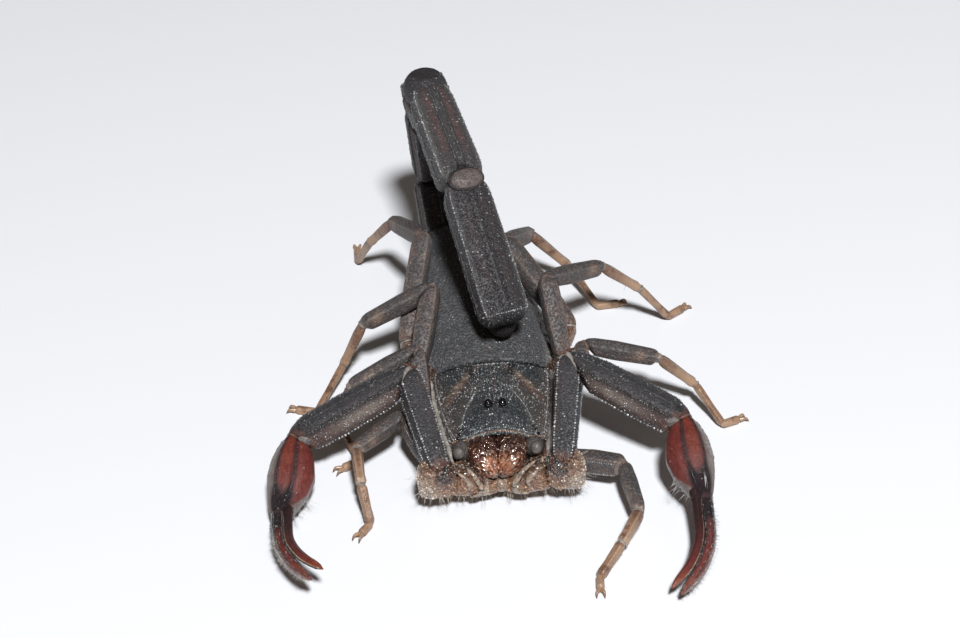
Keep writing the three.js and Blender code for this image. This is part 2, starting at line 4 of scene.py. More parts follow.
import bpy
import numpy as np
from mathutils import Matrix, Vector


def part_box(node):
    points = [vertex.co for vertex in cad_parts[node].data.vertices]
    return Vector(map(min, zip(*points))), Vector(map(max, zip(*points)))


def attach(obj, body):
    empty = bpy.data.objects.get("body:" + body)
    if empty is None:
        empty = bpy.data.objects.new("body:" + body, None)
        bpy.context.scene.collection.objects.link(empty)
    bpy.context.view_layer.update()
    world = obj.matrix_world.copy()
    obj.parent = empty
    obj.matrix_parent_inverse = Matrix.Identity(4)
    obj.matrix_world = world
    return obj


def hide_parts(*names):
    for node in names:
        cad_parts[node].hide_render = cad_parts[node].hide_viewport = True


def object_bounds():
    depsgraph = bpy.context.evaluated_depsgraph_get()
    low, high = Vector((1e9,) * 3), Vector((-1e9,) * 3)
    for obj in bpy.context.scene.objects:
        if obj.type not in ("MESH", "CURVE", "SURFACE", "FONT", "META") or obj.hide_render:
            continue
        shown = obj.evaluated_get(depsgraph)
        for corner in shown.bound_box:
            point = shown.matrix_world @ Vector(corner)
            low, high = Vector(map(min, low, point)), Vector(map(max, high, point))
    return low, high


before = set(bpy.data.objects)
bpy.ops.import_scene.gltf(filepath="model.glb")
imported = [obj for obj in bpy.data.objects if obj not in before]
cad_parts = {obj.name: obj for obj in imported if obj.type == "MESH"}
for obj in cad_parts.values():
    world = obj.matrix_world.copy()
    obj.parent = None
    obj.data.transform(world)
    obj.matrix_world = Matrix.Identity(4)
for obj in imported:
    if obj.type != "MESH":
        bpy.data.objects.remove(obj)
cad_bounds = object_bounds()

# The shapes are worked out in millimetres from the middle of the carapace's front edge at floor level:
# the animal faces -Y, its own left side is +X. place() turns them into the model's own frame.
MM = 0.001
EYE_Y = 2.85
EYE_MIDDLE = np.array([0.0, EYE_Y, 6.12])
ORIGIN = (np.array([(np.array(a) + np.array(b)) / 2 for a, b in map(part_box, ("eye_L", "eye_R"))]).mean(0)
          / MM - EYE_MIDDLE)
LOWEST = np.array(cad_bounds[0]) / MM - ORIGIN
HIGHEST = np.array(cad_bounds[1]) / MM - ORIGIN
UP = np.array([0.0, 0.0, 1.0])
LEFT = np.array([1.0, 0.0, 0.0])


def place(points):
    """Millimetres of the animal's frame as metres of the model's frame, kept inside the model's outline."""
    inside = np.clip(points, LOWEST + 0.002, HIGHEST - 0.002)
    return (inside + ORIGIN) * MM


def unit(v):
    v = np.asarray(v, float)
    return v / np.maximum(np.linalg.norm(v, axis=-1, keepdims=True), 1e-12)


def heading(turn, pitch=0.0):
    """A direction, turned from the animal's left towards its back and pitched up, in degrees."""
    h, p = math.radians(turn), math.radians(pitch)
    return np.array([math.cos(p) * math.cos(h), math.cos(p) * math.sin(h), math.sin(p)])


def step(low, high, x):
    """Smooth rise from 0 at low to 1 at high; it falls where high is below low."""
    share = np.clip((x - low) / (high - low), 0, 1)
    return share * share * (3 - 2 * share)


def hump(x, middle, width):
    return np.exp(-((x - middle) / width) ** 2)


def around(angle, middle, width):
    """A hump at an angle on a ring, in degrees."""
    off = (angle - middle + 180) % 360 - 180
    return np.exp(-(off / width) ** 2)


def pair(angle, middle, width):
    """Humps at an angle and at its mirror image on the other side of the ring."""
    return around(angle, middle, width) + around(angle, 180 - middle, width)


# ---------------------------------------------------------------- surfaces


def eased(table, column, s, soft=0.03):
    """A column of a table of sections at the places s, with its corners rounded."""
    places = [row[0] for row in table]
    values = [row[column] if column < len(row) else 0.0 for row in table]
    return np.mean([np.interp(s + soft * k, places, values) for k in (-1, -0.5, 0, 0.5, 1)], axis=0)


class Path:
    """A smooth line through points, with a side and an upward direction all along it."""

    def __init__(self, points, upward=UP):
        points = np.asarray(points, float)
        dense = points if len(points) == 2 else self.smooth(points)
        steps = np.linalg.norm(np.diff(dense, axis=0), axis=1)
        self.length = steps.sum()
        self.share = np.concatenate([[0], np.cumsum(steps)]) / self.length
        self.dense = dense
        self.tangent = unit(np.gradient(dense, axis=0)) if len(dense) > 2 else unit(dense[[1, 1]] - dense[0])
        self.upward = upward

    @staticmethod
    def smooth(points):
        """A centripetal spline through the points."""
        ends = [2 * points[0] - points[1], *points, 2 * points[-1] - points[-2]]
        rows = []
        for a, b, c, d in zip(ends, ends[1:], ends[2:], ends[3:]):
            t = [np.linalg.norm(q - p) ** 0.5 for p, q in ((a, b), (b, c), (c, d))]
            m1 = ((b - a) / t[0] - (c - a) / (t[0] + t[1]) + (c - b) / t[1]) * t[1]
            m2 = ((c - b) / t[1] - (d - b) / (t[1] + t[2]) + (d - c) / t[2]) * t[1]
            u = np.linspace(0, 1, 24, endpoint=False)[:, None]
            rows.append(b * (2 * u**3 - 3 * u**2 + 1) + m1 * (u**3 - 2 * u**2 + u)
                        + c * (3 * u**2 - 2 * u**3) + m2 * (u**3 - u**2))
        return np.concatenate([*rows, points[-1:]])

    def frame(self, s):
        """Middle, side, up and forward directions at the places s, of any shape of array."""
        s = np.asarray(s, float)
        inside = np.clip(s, 0, 1)
        at = np.stack([np.interp(inside, self.share, self.dense[:, k]) for k in range(3)], -1)
        forward = unit(np.stack([np.interp(inside, self.share, self.tangent[:, k]) for k in range(3)], -1))
        at = at + forward * ((s - inside) * self.length)[..., None]
        side = unit(np.cross(forward, self.upward))
        return at, side, np.cross(side, forward), forward


class Skin:
    """A grid of points round a piece: rows along it, t from 0 to 1, and columns round it, by angle."""

    def __init__(self, grid, t, angle, strip=False):
        self.grid = grid
        self.t = np.broadcast_to(t[:, None], grid.shape[:2])
        self.angle = np.broadcast_to(angle[None, :], grid.shape[:2])
        self.strip = strip
        self.paint = {}

    def brush(self, **paints):
        """Lays paints on the skin, each one number or a value for every point."""
        self.paint.update(paints)
        return self

    def line(self, angle, start, end, lift=0.0):
        """Points of the skin along one angle, from start to end, lifted outwards."""
        column = int(np.argmin(np.abs((self.angle[0] - angle + 180) % 360 - 180)))
        run = self.grid[:, column]
        run = run + unit(run - self.grid.mean(1)) * lift
        wanted = np.linspace(start, end, 40)
        return np.stack([np.interp(wanted, self.t[:, 0], run[:, k]) for k in range(3)], -1)

    def ring(self, t, start, end):
        """Points of the skin round it at one place, from one angle to another."""
        row = int(np.argmin(np.abs(self.t[:, 0] - t)))
        past = (self.angle[0] - start) % 360
        order = np.argsort(past)
        return self.grid[row, order[past[order] <= end - start]]

    def mesh_parts(self):
        """Vertices and faces. A fan closes each end, or a strip of faces across an arched plate."""
        rows, columns = self.grid.shape[:2]
        points = self.grid.reshape(-1, 3)
        index = np.arange(rows * columns).reshape(rows, columns)
        turned = np.roll(index, -1, axis=1)
        faces = np.stack([index[:-1], index[1:], turned[1:], turned[:-1]], -1).reshape(-1, 4).tolist()
        if self.strip:
            for row, flip in ((0, False), (rows - 1, True)):
                for k in range(columns // 2 - 1):
                    face = [index[row, k], index[row, k + 1], index[row, columns - 2 - k],
                            index[row, columns - 1 - k]]
                    faces.append([int(i) for i in (face[::-1] if flip else face)])
        else:
            points = np.concatenate([points, self.grid[[0, -1]].mean(1)])
            first, last = len(points) - 2, len(points) - 1
            for k in range(columns):
                after = (k + 1) % columns
                faces.append([first, int(index[0, k]), int(index[0, after])])
                faces.append([last, int(index[-1, after]), int(index[-1, k])])
        return points, faces

    def painted(self, name):
        """A paint's value at each vertex, the end centres included."""
        rows = np.broadcast_to(self.paint.get(name, 0.0), self.grid.shape[:2])
        flat = rows.reshape(-1)
        if not self.strip:
            flat = np.concatenate([flat, rows[[0, -1]].mean(1)])
        return flat


ROW_PLACES = np.concatenate([[0, 0.004, 0.012, 0.025], np.linspace(0.045, 0.955, 46),
                             [0.975, 0.988, 0.996, 1]])


def loft(path, table, power=2.0, keels=(), cuts=(), columns=72, mirrored=False, lip=0.09, relief=None,
         rows=ROW_PLACES, soft=0.03, notch=None):
    """A skin along a path. table lists [place, width, height, sideways]; power is 2 for an oval section and
    more for a squarer one. keels lists (angle, height, width in degrees) of ridges along it. cuts are planes
    (point, normal) that end it. relief(t, angle) adds to its radius. notch is (angle, width, depth at its
    start, depth at its end) of rounded bays in its ends."""
    turn = np.linspace(0, 2 * np.pi, columns, endpoint=False)
    angle = np.degrees(turn)
    if mirrored:
        angle = (180 - angle) % 360
    reach = (np.abs(np.cos(turn)) ** power + np.abs(np.sin(turn)) ** power) ** (-1 / power)
    across, upward = reach * np.cos(turn), reach * np.sin(turn)

    def surface(s, grow):
        at, side, up, _ = path.frame(s)
        half_width = eased(table, 1, s, soft) / 2
        half_height = eased(table, 2, s, soft) / 2
        shift = eased(table, 3, s, soft)
        radius = np.hypot(half_width * across, half_height * upward)
        scale = 1 + grow / np.maximum(radius, 0.05)
        return (at + side * (across * half_width * scale + shift)[..., None]
                + up * (upward * half_height * scale)[..., None])

    low, high = table[0][0], table[-1][0]
    start, end = np.full(columns, low), np.full(columns, high)
    probe = np.linspace(low, high, 60)
    probed = surface(np.broadcast_to(probe[:, None], (60, columns)), 0.0)
    axis = unit(path.dense[-1] - path.dense[0])
    for point, normal in cuts:
        depth = (probed - point) @ normal
        for c in range(columns):
            if normal @ axis > 0:
                end[c] = min(end[c], np.interp(0, np.maximum.accumulate(depth[:, c]), probe))
            else:
                rising = np.maximum.accumulate(depth[::-1, c])
                start[c] = max(start[c], np.interp(0, rising, probe[::-1]))
    if notch:
        bay = around(angle, notch[0], notch[1])
        start, end = start + bay * notch[2], end - bay * notch[3]
    s = start + rows[:, None] * (end - start)
    t = np.broadcast_to(rows[:, None], s.shape)
    span = path.length * np.mean(end - start)
    near = np.minimum(np.minimum(t, 1 - t) * span / 0.35, 1)
    grow = -lip * (1 - near) ** 2 * 1.6
    for keel_angle, height, width in keels:
        grow = grow + height * around(angle, keel_angle, width) * step(0, 0.06, t) * step(1, 0.94, t)
    if keels:
        grow = grow - 0.5 * max(k[1] for k in keels)
    if relief is not None:
        grow = grow + relief(t, np.broadcast_to(angle, t.shape))
    return Skin(surface(s, grow), rows, angle)


def bulb(middle, axis, radius, upward=UP, columns=28):
    """A rounded cushion. radius is (along the axis, to the side, up); upward can't lie along the axis."""
    path = Path([middle - unit(axis) * radius[0], middle + unit(axis) * radius[0]], upward)
    share = np.linspace(0.0, 1.0, 17)
    size = np.sqrt(np.maximum(1 - (2 * share - 1) ** 2, 0.0004))
    table = [[p, 2 * radius[1] * k, 2 * radius[2] * k] for p, k in zip(share, size)]
    return loft(path, table, columns=columns, lip=0, rows=share, soft=0.0)


PLATE_RIM, PLATE_ROUNDNESS = 0.45, 2.4


def plate(front, back, half, crown, edge, thickness, relief, rows, columns, line=None):
    """An arched plate. front and back give y, or the distance along the trunk, of its ends for a place
    across it from -1 to 1. half, crown and edge are functions of that distance. relief(u, t, x, y) lifts
    its back and line(distance, across) gives its ground points."""
    u = np.cos(np.linspace(0, np.pi, columns)) * 0.35 + np.linspace(1, -1, columns) * 0.65
    t = np.concatenate([[0, 0.01, 0.03], np.linspace(0.06, 0.94, rows), [0.97, 0.99, 1]])
    share, side = np.meshgrid(t, u, indexing="ij")
    distance = front(side) + share * (back(side) - front(side))
    half_at, crown_at, edge_at = half(distance), crown(distance), edge(distance)
    x = half_at * side
    top = edge_at + (crown_at - edge_at) * (1 - np.abs(side) ** PLATE_ROUNDNESS)
    lip = 0.12 * (1 - np.minimum(np.minimum(share, 1 - share) * 14, 1)) ** 2
    lip = lip + 0.16 * step(0.93, 1.0, np.abs(side)) ** 2
    top = top - lip + relief(side, share, x, distance)
    under = edge_at - PLATE_RIM
    bottom = under + (crown_at - thickness - under) * (1 - side * side)
    thin = step(0.06, 0.0, share) + step(0.94, 1.0, share)
    bottom = bottom + thin * (np.maximum(top - 0.2, bottom) - bottom)
    make = line or (lambda d, across: np.stack([across, d, np.zeros_like(d)], -1))
    base = make(distance, x)

    def both(above, below):
        return np.concatenate([above, below[:, ::-1]], axis=1)

    grid = both(base + UP * top[..., None], base + UP * bottom[..., None])
    skin = Skin(grid, t, np.linspace(0, 360, 2 * columns, endpoint=False), strip=True)
    skin.u, skin.x, skin.y = both(side, side), both(x, x), both(distance, distance)
    skin.top = both(np.ones_like(side), np.zeros_like(side))
    return skin


# ---------------------------------------------------------------- node trees


class Socket:
    """A socket of a node tree. Sums written with it become Math nodes."""

    def __init__(self, tree, socket):
        self.tree = tree
        self.socket = socket

    def maths(self, operation, *values):
        return self.tree.node("ShaderNodeMath", {"operation": operation}, dict(enumerate(values)))

    def __add__(self, other):
        return self.maths("ADD", self, other)

    def __sub__(self, other):
        return self.maths("SUBTRACT", self, other)

    def __rsub__(self, other):
        return self.maths("SUBTRACT", other, self)

    def __mul__(self, other):
        return self.maths("MULTIPLY", self, other)

    def __truediv__(self, other):
        return self.maths("DIVIDE", self, other)

    def __pow__(self, other):
        return self.maths("POWER", self, other)

    __radd__ = __add__
    __rmul__ = __mul__

    def clamp(self):
        return self.tree.node("ShaderNodeClamp", {}, {0: self})

    def between(self, low, high):
        """A smooth rise from 0 at low to 1 at high."""
        return self.tree.node("ShaderNodeMapRange", {"interpolation_type": "SMOOTHSTEP"},
                              {"Value": self, "From Min": low, "From Max": high})


class Tree:
    """A node tree and the one way to add a node to it."""

    def __init__(self, tree):
        self.tree = tree
        self.tree.nodes.clear()

    def node(self, kind, settings=None, inputs=None, output=0):
        made = self.tree.nodes.new(kind)
        for name, value in (settings or {}).items():
            if name == "stops":
                for spare in list(made.color_ramp.elements)[2:]:
                    made.color_ramp.elements.remove(spare)
                while len(made.color_ramp.elements) < len(value):
                    made.color_ramp.elements.new(0.5)
                for element, (position, colour) in zip(made.color_ramp.elements, value):
                    element.position = position
                    element.color = (*colour, 1)
            else:
                setattr(made, name, value)
        for name, value in (inputs or {}).items():
            socket = made.inputs[name]
            if isinstance(value, Socket):
                self.tree.links.new(value.socket, socket)
            elif isinstance(value, tuple) and len(value) == 3 and socket.type == "RGBA":
                socket.default_value = (*value, 1)
            else:
                socket.default_value = value
        return Socket(self, made.outputs[output]) if len(made.outputs) else None

    def blend(self, first, second, factor):
        """A colour between two colours."""
        return self.node("ShaderNodeMix", {"data_type": "RGBA"}, {0: factor, 6: first, 7: second}, 2)

    def paint(self, name):
        """How much of a paint a place has, from the mesh."""
        return self.node("ShaderNodeAttribute", {"attribute_name": name}, output=2)

    def noise(self, at, size, detail=3.0, roughness=0.55):
        """Cloudy variation with features of a size in millimetres."""
        return self.node("ShaderNodeTexNoise", {}, {"Vector": at, "Scale": 1 / size, "Detail": detail,
                                                    "Roughness": roughness})

    def cells(self, at, size, feature="F1"):
        """Distance to the middle of the nearest of many cells of a size in millimetres."""
        return self.node("ShaderNodeTexVoronoi", {"feature": feature}, {"Vector": at, "Scale": 1 / size})

    def millimetres(self):
        at = self.node("ShaderNodeTexCoord", output=3)
        return self.node("ShaderNodeVectorMath", {"operation": "SCALE"}, {0: at, "Scale": 1000.0})


def grey(value):
    return (value, value, value)


def finish(name, main, tone, light, dark=(0.010, 0.009, 0.010), rough=0.5, coat=0.0, pebble=0.16,
           relief=0.03, mottle=0.35, blotch=0.0, net=0.0, net_size=0.5, wax=0.0, gleam=0.5, speckle=0.0,
           matte=0.0):
    """A shell finish: main is its own colour, and the paints tone, light and dark lead to three others.
    pebble is the size of its fine granules and relief their height, both in millimetres; mottle is how much
    its colour varies, blotch how much of it turns to the tone in patches, net how dark a netted pattern of
    net_size is, wax how much light passes under its surface, gleam how strong its reflections are,
    speckle how much of it turns to the light colour in small spots and matte how much rougher its dark is."""
    material = bpy.data.materials.new(name)
    material.use_nodes = True
    tree = Tree(material.node_tree)
    at = tree.millimetres()
    cloud = tree.noise(at, 0.9)
    fine = tree.noise(at, 0.15, 2.0)
    streak = tree.noise(at, 0.38, 4.0, 0.7)
    worn = (cloud - 0.5) * (2 * mottle)
    much = (tree.paint("tone") * (0.35 + streak * 1.2) + worn * 0.35).clamp()
    if blotch:
        much = (much + tree.noise(at, 1.1, 5.0, 0.65).between(0.5, 0.66) * blotch).clamp()
    colour = tree.blend(main, tone, much)
    colour = tree.blend(colour, light, (tree.paint("light") * (0.3 + streak * 1.3)).clamp())
    colour = tree.blend(colour, dark, (tree.paint("dark") * (0.7 + fine * 0.6)).clamp())
    if speckle:
        spots = tree.noise(at, 0.2, 1.0).between(0.5, 0.68) * speckle
        colour = tree.blend(colour, light, spots)
    if net:
        seams = tree.cells(at, net_size, "DISTANCE_TO_EDGE")
        colour = tree.blend(colour, dark, (1 - seams.between(0.02, 0.3)) * streak.between(0.3, 0.6) * net)
    shade = (0.62 + cloud * 0.3 + fine * 0.36).clamp()
    colour = tree.blend(grey(0.0), colour, shade)
    grains = tree.cells(at, pebble)
    plain = tree.paint("smooth")
    dome = (1 - grains.between(0.1, 0.62)) * (1 - 0.65 * plain)
    height = dome + fine * 0.5 * (1 - 0.6 * plain)
    bump = tree.node("ShaderNodeBump", {}, {"Height": height, "Distance": relief * MM, "Strength": 1.0})
    worn_dark = tree.paint("dark") * matte
    shine = (rough + (cloud - 0.5) * 0.25 - dome * 0.14 - plain * rough * 0.4 + worn_dark).clamp()
    shader = tree.node("ShaderNodeBsdfPrincipled", {},
                       {"Base Color": colour, "Roughness": shine, "Normal": bump, "Coat Weight": coat,
                        "Coat Roughness": 0.12, "Specular IOR Level": gleam, "Subsurface Weight": wax,
                        "Subsurface Radius": (0.0006, 0.0003, 0.0002), "Subsurface Scale": 0.6})
    tree.node("ShaderNodeOutputMaterial", {}, {"Surface": shader})
    return material


BEAD = {"coat": 0.8, "pebble": 0.3, "relief": 0.0}
FINISHES = {
    "head": finish("blue-black granular shell", (0.024, 0.031, 0.036), (0.12, 0.036, 0.018),
                   (0.33, 0.25, 0.18), rough=0.42, pebble=0.13, relief=0.08, speckle=0.13),
    "back": finish("grey granular shell", (0.066, 0.069, 0.075), (0.115, 0.075, 0.064), (0.24, 0.23, 0.22),
                   rough=0.5, pebble=0.17, relief=0.1, gleam=0.4, speckle=0.2),
    "tail": finish("grey-brown ringed shell", (0.030, 0.028, 0.031), (0.105, 0.033, 0.027),
                   (0.20, 0.19, 0.18), rough=0.52, pebble=0.13, relief=0.06, gleam=0.3, speckle=0.07),
    "pincer_arm": finish("slate shell of the pincer arms", (0.032, 0.032, 0.036), (0.12, 0.048, 0.034),
                         (0.24, 0.21, 0.18), rough=0.52, pebble=0.13, relief=0.06, gleam=0.35,
                         speckle=0.14),
    "hand": finish("brick-red shell", (0.150, 0.030, 0.024), (0.26, 0.062, 0.022), (0.20, 0.175, 0.16),
                   (0.012, 0.006, 0.008), rough=0.42, coat=0.05, pebble=0.1, relief=0.02, mottle=0.6,
                   net=0.35, net_size=0.45, wax=0.08, gleam=0.35, speckle=0.08, matte=0.4),
    "under": finish("orange-brown underside", (0.26, 0.130, 0.068), (0.085, 0.034, 0.026),
                    (0.46, 0.40, 0.33), (0.016, 0.011, 0.012), rough=0.3, coat=0.5, pebble=0.19,
                    relief=0.09, mottle=0.9, blotch=0.6, net=0.5, net_size=0.5, speckle=0.35),
    "leg": finish("mottled leg shell", (0.060, 0.054, 0.056), (0.155, 0.085, 0.055), (0.36, 0.32, 0.28),
                  (0.016, 0.014, 0.015), rough=0.5, pebble=0.16, relief=0.05, mottle=0.7, blotch=0.35,
                  gleam=0.4, speckle=0.2),
    "foot": finish("tan foot shell", (0.36, 0.23, 0.145), (0.135, 0.066, 0.042), (0.50, 0.42, 0.33),
                   (0.06, 0.034, 0.026), rough=0.42, pebble=0.16, relief=0.015, mottle=0.9, blotch=0.75,
                   wax=0.08, speckle=0.1),
    "jaw": finish("glossy jaw shell", (0.095, 0.020, 0.012), (0.38, 0.120, 0.045), (0.60, 0.40, 0.28),
                  (0.012, 0.004, 0.003), rough=0.13, coat=0.9, pebble=0.42, relief=0.3, mottle=0.8,
                  blotch=0.35, net=0.65, net_size=0.55, wax=0.05, gleam=0.9, speckle=0.4),
    "skin": finish("pale joint skin", (0.17, 0.155, 0.145), (0.14, 0.042, 0.028), (0.46, 0.43, 0.38),
                   (0.03, 0.024, 0.022), rough=0.5, pebble=0.14, relief=0.05, mottle=1.0, net=0.5,
                   net_size=0.7, wax=0.1),
    "grit": finish("grey granules", (0.060, 0.061, 0.065), (0.09, 0.062, 0.053), grey(0.26), rough=0.3,
                   coat=0.4, pebble=0.3, relief=0.0, mottle=0.6, speckle=0.3),
    "eye": finish("glossy black eye", (0.002, 0.002, 0.003), (0.002, 0.002, 0.003), (0.01, 0.01, 0.012),
                  rough=0.05, coat=1.0, pebble=1.5, relief=0.0, mottle=0.0),
    # Pale granules: their pale colour and light spots are painted highlights. They stand in for the glints
    # that glossy dark granules give under the flash.
    "pearl": finish("pale granules with painted glints", (0.17, 0.18, 0.19), (0.10, 0.06, 0.05), (0.66, 0.69, 0.72),
                    rough=0.2, mottle=0.9, blotch=0.4, gleam=0.8, speckle=0.75, **BEAD),
    "stud": finish("black granules", (0.020, 0.020, 0.022), (0.10, 0.03, 0.02), grey(0.3), rough=0.2,
                   mottle=0.6, speckle=0.25, **BEAD),
    "amber": finish("amber granules", (0.38, 0.21, 0.12), (0.12, 0.05, 0.035), (0.66, 0.60, 0.50),
                    rough=0.22, mottle=0.9, blotch=0.6, speckle=0.6, **BEAD),
    "bristle": finish("pale bristles", (0.55, 0.49, 0.40), (0.4, 0.2, 0.1), grey(0.6), rough=0.4,
                      pebble=0.3, relief=0.0),
}
PAINTS = ("tone", "light", "dark", "smooth", "grain", "bristle")


# ---------------------------------------------------------------- pieces


def build_mesh(name, skins, material):
    """Skins as one mesh, with their paints as attributes of its points."""
    points, faces, paints, offset = [], [], {p: [] for p in PAINTS}, 0
    for skin in skins:
        skin_points, skin_faces = skin.mesh_parts()
        points.append(skin_points)
        faces.extend([[i + offset for i in face] for face in skin_faces])
        for paint in PAINTS:
            paints[paint].append(skin.painted(paint))
        offset += len(skin_points)
    mesh = bpy.data.meshes.new(name)
    mesh.from_pydata(place(np.concatenate(points)).tolist(), [], faces)
    for paint in PAINTS:
        layer = mesh.attributes.new(paint, "FLOAT", "POINT")
        layer.data.foreach_set("value", np.concatenate(paints[paint]).astype(np.float32))
    mesh.materials.append(material)
    mesh.polygons.foreach_set("use_smooth", [True] * len(mesh.polygons))
    mesh.update()
    return mesh


def link(name, data):
    """A new object in the scene."""
    thing = bpy.data.objects.new(name, data)
    bpy.context.scene.collection.objects.link(thing)
    return thing


def add_piece(name, skins, look, nodes=()):
    """One finished piece of the model. It stands for the named solids."""
    piece = link(name, build_mesh(name, skins, FINISHES[look]))
    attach(piece, "root")
    if nodes:
        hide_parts(*nodes)


class Growth:
    """What grows on the shell: rows of beads along lines, grains and bristles over surfaces."""

    def __init__(self):
        self.rows = {}
        self.fields = {}

    def row(self, group, points, radius):
        self.rows.setdefault(group, []).append((points, radius))

    def along(self, skin, *rows):
        """Rows of beads along a skin. Each is (group, radius, angle, start, end, and perhaps lift)."""
        for group, radius, *where in rows:
            self.row(group, skin.line(*where), radius)

    def field(self, skins, *groups):
        """Grains or bristles over skins, of each of the groups."""
        for group in groups:
            self.fields.setdefault(group, []).extend(skins)


growth = Growth()


def group_tree(name, **inputs):
    """A tree that takes a mesh and other inputs, and the way to read each of them."""
    tree = bpy.data.node_groups.new(name, "GeometryNodeTree")
    made = Tree(tree)
    tree.interface.new_socket("Geometry", in_out="INPUT", socket_type="NodeSocketGeometry")
    for socket, kind in {**inputs, "Seed": "Int", "Finish": "Material"}.items():
        tree.interface.new_socket(socket, in_out="INPUT", socket_type="NodeSocket" + kind)
    tree.interface.new_socket("Geometry", in_out="OUTPUT", socket_type="NodeSocketGeometry")
    source = tree.nodes.new("NodeGroupInput")
    made.given = {s.name: Socket(made, s) for s in source.outputs if s.name}
    return made, made.given


def finish_tree(made, instances):
    """Turns instances into one smooth mesh with the finish, as the tree's result."""
    real = made.node("GeometryNodeRealizeInstances", {}, {0: instances})
    smooth = made.node("GeometryNodeSetShadeSmooth", {}, {"Geometry": real})
    coloured = made.node("GeometryNodeSetMaterial", {},
                         {"Geometry": smooth, "Material": made.given["Finish"]})
    result = made.tree.nodes.new("NodeGroupOutput")
    made.tree.links.new(coloured.socket, result.inputs[0])
    return made.tree


def named(made, attribute):
    return made.node("GeometryNodeInputNamedAttribute", {"data_type": "FLOAT"}, {"Name": attribute})


def random_value(made, low, high, seed):
    return made.node("FunctionNodeRandomValue", {"data_type": "FLOAT"}, {2: low, 3: high, "Seed": seed}, 1)


def random_vector(made, low, high):
    return made.node("FunctionNodeRandomValue", {"data_type": "FLOAT_VECTOR"},
                     {0: low, 1: high, "Seed": made.given["Seed"]}, 0)


def instances(made, points, shape, size, **turned):
    return made.node("GeometryNodeInstanceOnPoints", {},
                     {"Points": points, "Instance": shape, "Scale": size, **turned})


def bead_row_tree():
    """Beads at even steps along the edges of a mesh; the attribute size is their radius."""
    made, given = group_tree("Bead rows", Spacing="Float", Unevenness="Float")
    line = made.node("GeometryNodeMeshToCurve", {}, {0: given["Geometry"]})
    even = made.node("GeometryNodeResampleCurve", {"mode": "LENGTH"},
                     {"Curve": line, "Length": given["Spacing"]})
    jolt = random_vector(made, (-1, -1, -1), (1, 1, 1))
    nudge = made.node("ShaderNodeVectorMath", {"operation": "SCALE"},
                      {0: jolt, "Scale": named(made, "size") * 0.25})
    moved = made.node("GeometryNodeSetPosition", {}, {"Geometry": even, "Offset": nudge})
    bead = made.node("GeometryNodeMeshIcoSphere", {}, {"Radius": 1.0, "Subdivisions": 2})
    size = named(made, "size") * random_value(made, 1 - given["Unevenness"], 1 + given["Unevenness"],
                                              given["Seed"])
    return finish_tree(made, instances(made, moved, bead, size))


def grain_tree():
    """Grains spread over a surface, more of them where the attribute grain is high."""
    made, given = group_tree("Spread grains", Gap="Float", Most="Float", Size="Float")
    dots = made.node("GeometryNodeDistributePointsOnFaces", {"distribute_method": "POISSON"},
                     {"Mesh": given["Geometry"], "Distance Min": given["Gap"], "Density Max": given["Most"],
                      "Density Factor": named(made, "grain"), "Seed": given["Seed"]})
    grain = made.node("GeometryNodeMeshIcoSphere", {}, {"Radius": 1.0, "Subdivisions": 1})
    spread = random_value(made, 0.5, 1.15, given["Seed"])
    size = given["Size"] * spread * random_value(made, 0.65, 1.35, given["Seed"] + 1)
    return finish_tree(made, instances(made, dots, grain, size))


def bristle_tree():
    """Thin bristles that stand on a surface and lean a little, where the attribute bristle is high."""
    made, given = group_tree("Bristles", Most="Float", Length="Float", Girth="Float")
    density = named(made, "bristle") * given["Most"]
    roots = made.node("GeometryNodeDistributePointsOnFaces", {"distribute_method": "RANDOM"},
                      {"Mesh": given["Geometry"], "Density": density, "Seed": given["Seed"]})
    normal = Socket(made, roots.socket.node.outputs["Normal"])
    lean = random_vector(made, (-0.45, -0.6, -0.5), (0.45, 0.1, 0.3))
    leaning = made.node("ShaderNodeVectorMath", {"operation": "ADD"}, {0: normal, 1: lean})
    turn = made.node("FunctionNodeAlignRotationToVector", {"axis": "Z"}, {"Vector": leaning})
    hair = made.node("GeometryNodeMeshCone", {}, {"Vertices": 4, "Radius Top": 0.0,
                                                  "Radius Bottom": given["Girth"], "Depth": given["Length"]})
    size = random_value(made, 0.45, 1.15, given["Seed"])
    return finish_tree(made, instances(made, roots, hair, size, Rotation=turn))


def grow(name, source_mesh, tree, look, slot, **values):
    """Runs a tree on a mesh and keeps the result as a plain piece."""
    values["Finish"] = FINISHES[look]
    carrier = link(name + "_carrier", source_mesh)
    modifier = carrier.modifiers.new("growth", "NODES")
    modifier.node_group = tree
    for item in tree.interface.items_tree:
        if item.item_type == "SOCKET" and item.in_out == "INPUT" and item.name in values:
            modifier[item.identifier] = values[item.name]
    graph = bpy.context.evaluated_depsgraph_get()
    mesh = bpy.data.meshes.new_from_object(carrier.evaluated_get(graph), depsgraph=graph)
    carrier.modifiers.remove(modifier)
    bpy.data.objects.remove(carrier)
    keep_inside(mesh)
    mesh.name = name
    piece = link(name, mesh)
    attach(piece, "root")


def keep_inside(mesh):
    """Keeps the ends of grains and bristles inside the model's outline."""
    co = np.zeros(len(mesh.vertices) * 3, np.float32)
    mesh.vertices.foreach_get("co", co)
    co = np.clip(co.reshape(-1, 3), (LOWEST + ORIGIN) * MM + 2e-6, (HIGHEST + ORIGIN) * MM - 2e-6)
    mesh.vertices.foreach_set("co", co.astype(np.float32).ravel())
    mesh.update()


def lines_mesh(name, runs, radius):
    """Lines as a mesh of edges, with the beads' radius on every point."""
    edges, offset = [], 0
    for run in runs:
        edges.extend((offset + k, offset + k + 1) for k in range(len(run) - 1))
        offset += len(run)
    mesh = bpy.data.meshes.new(name)
    mesh.from_pydata(place(np.concatenate(runs)).tolist(), edges, [])
    mesh.attributes.new("size", "FLOAT", "POINT").data.foreach_set("value", [radius * MM] * offset)
    return mesh


# ---------------------------------------------------------------- carapace and eyes

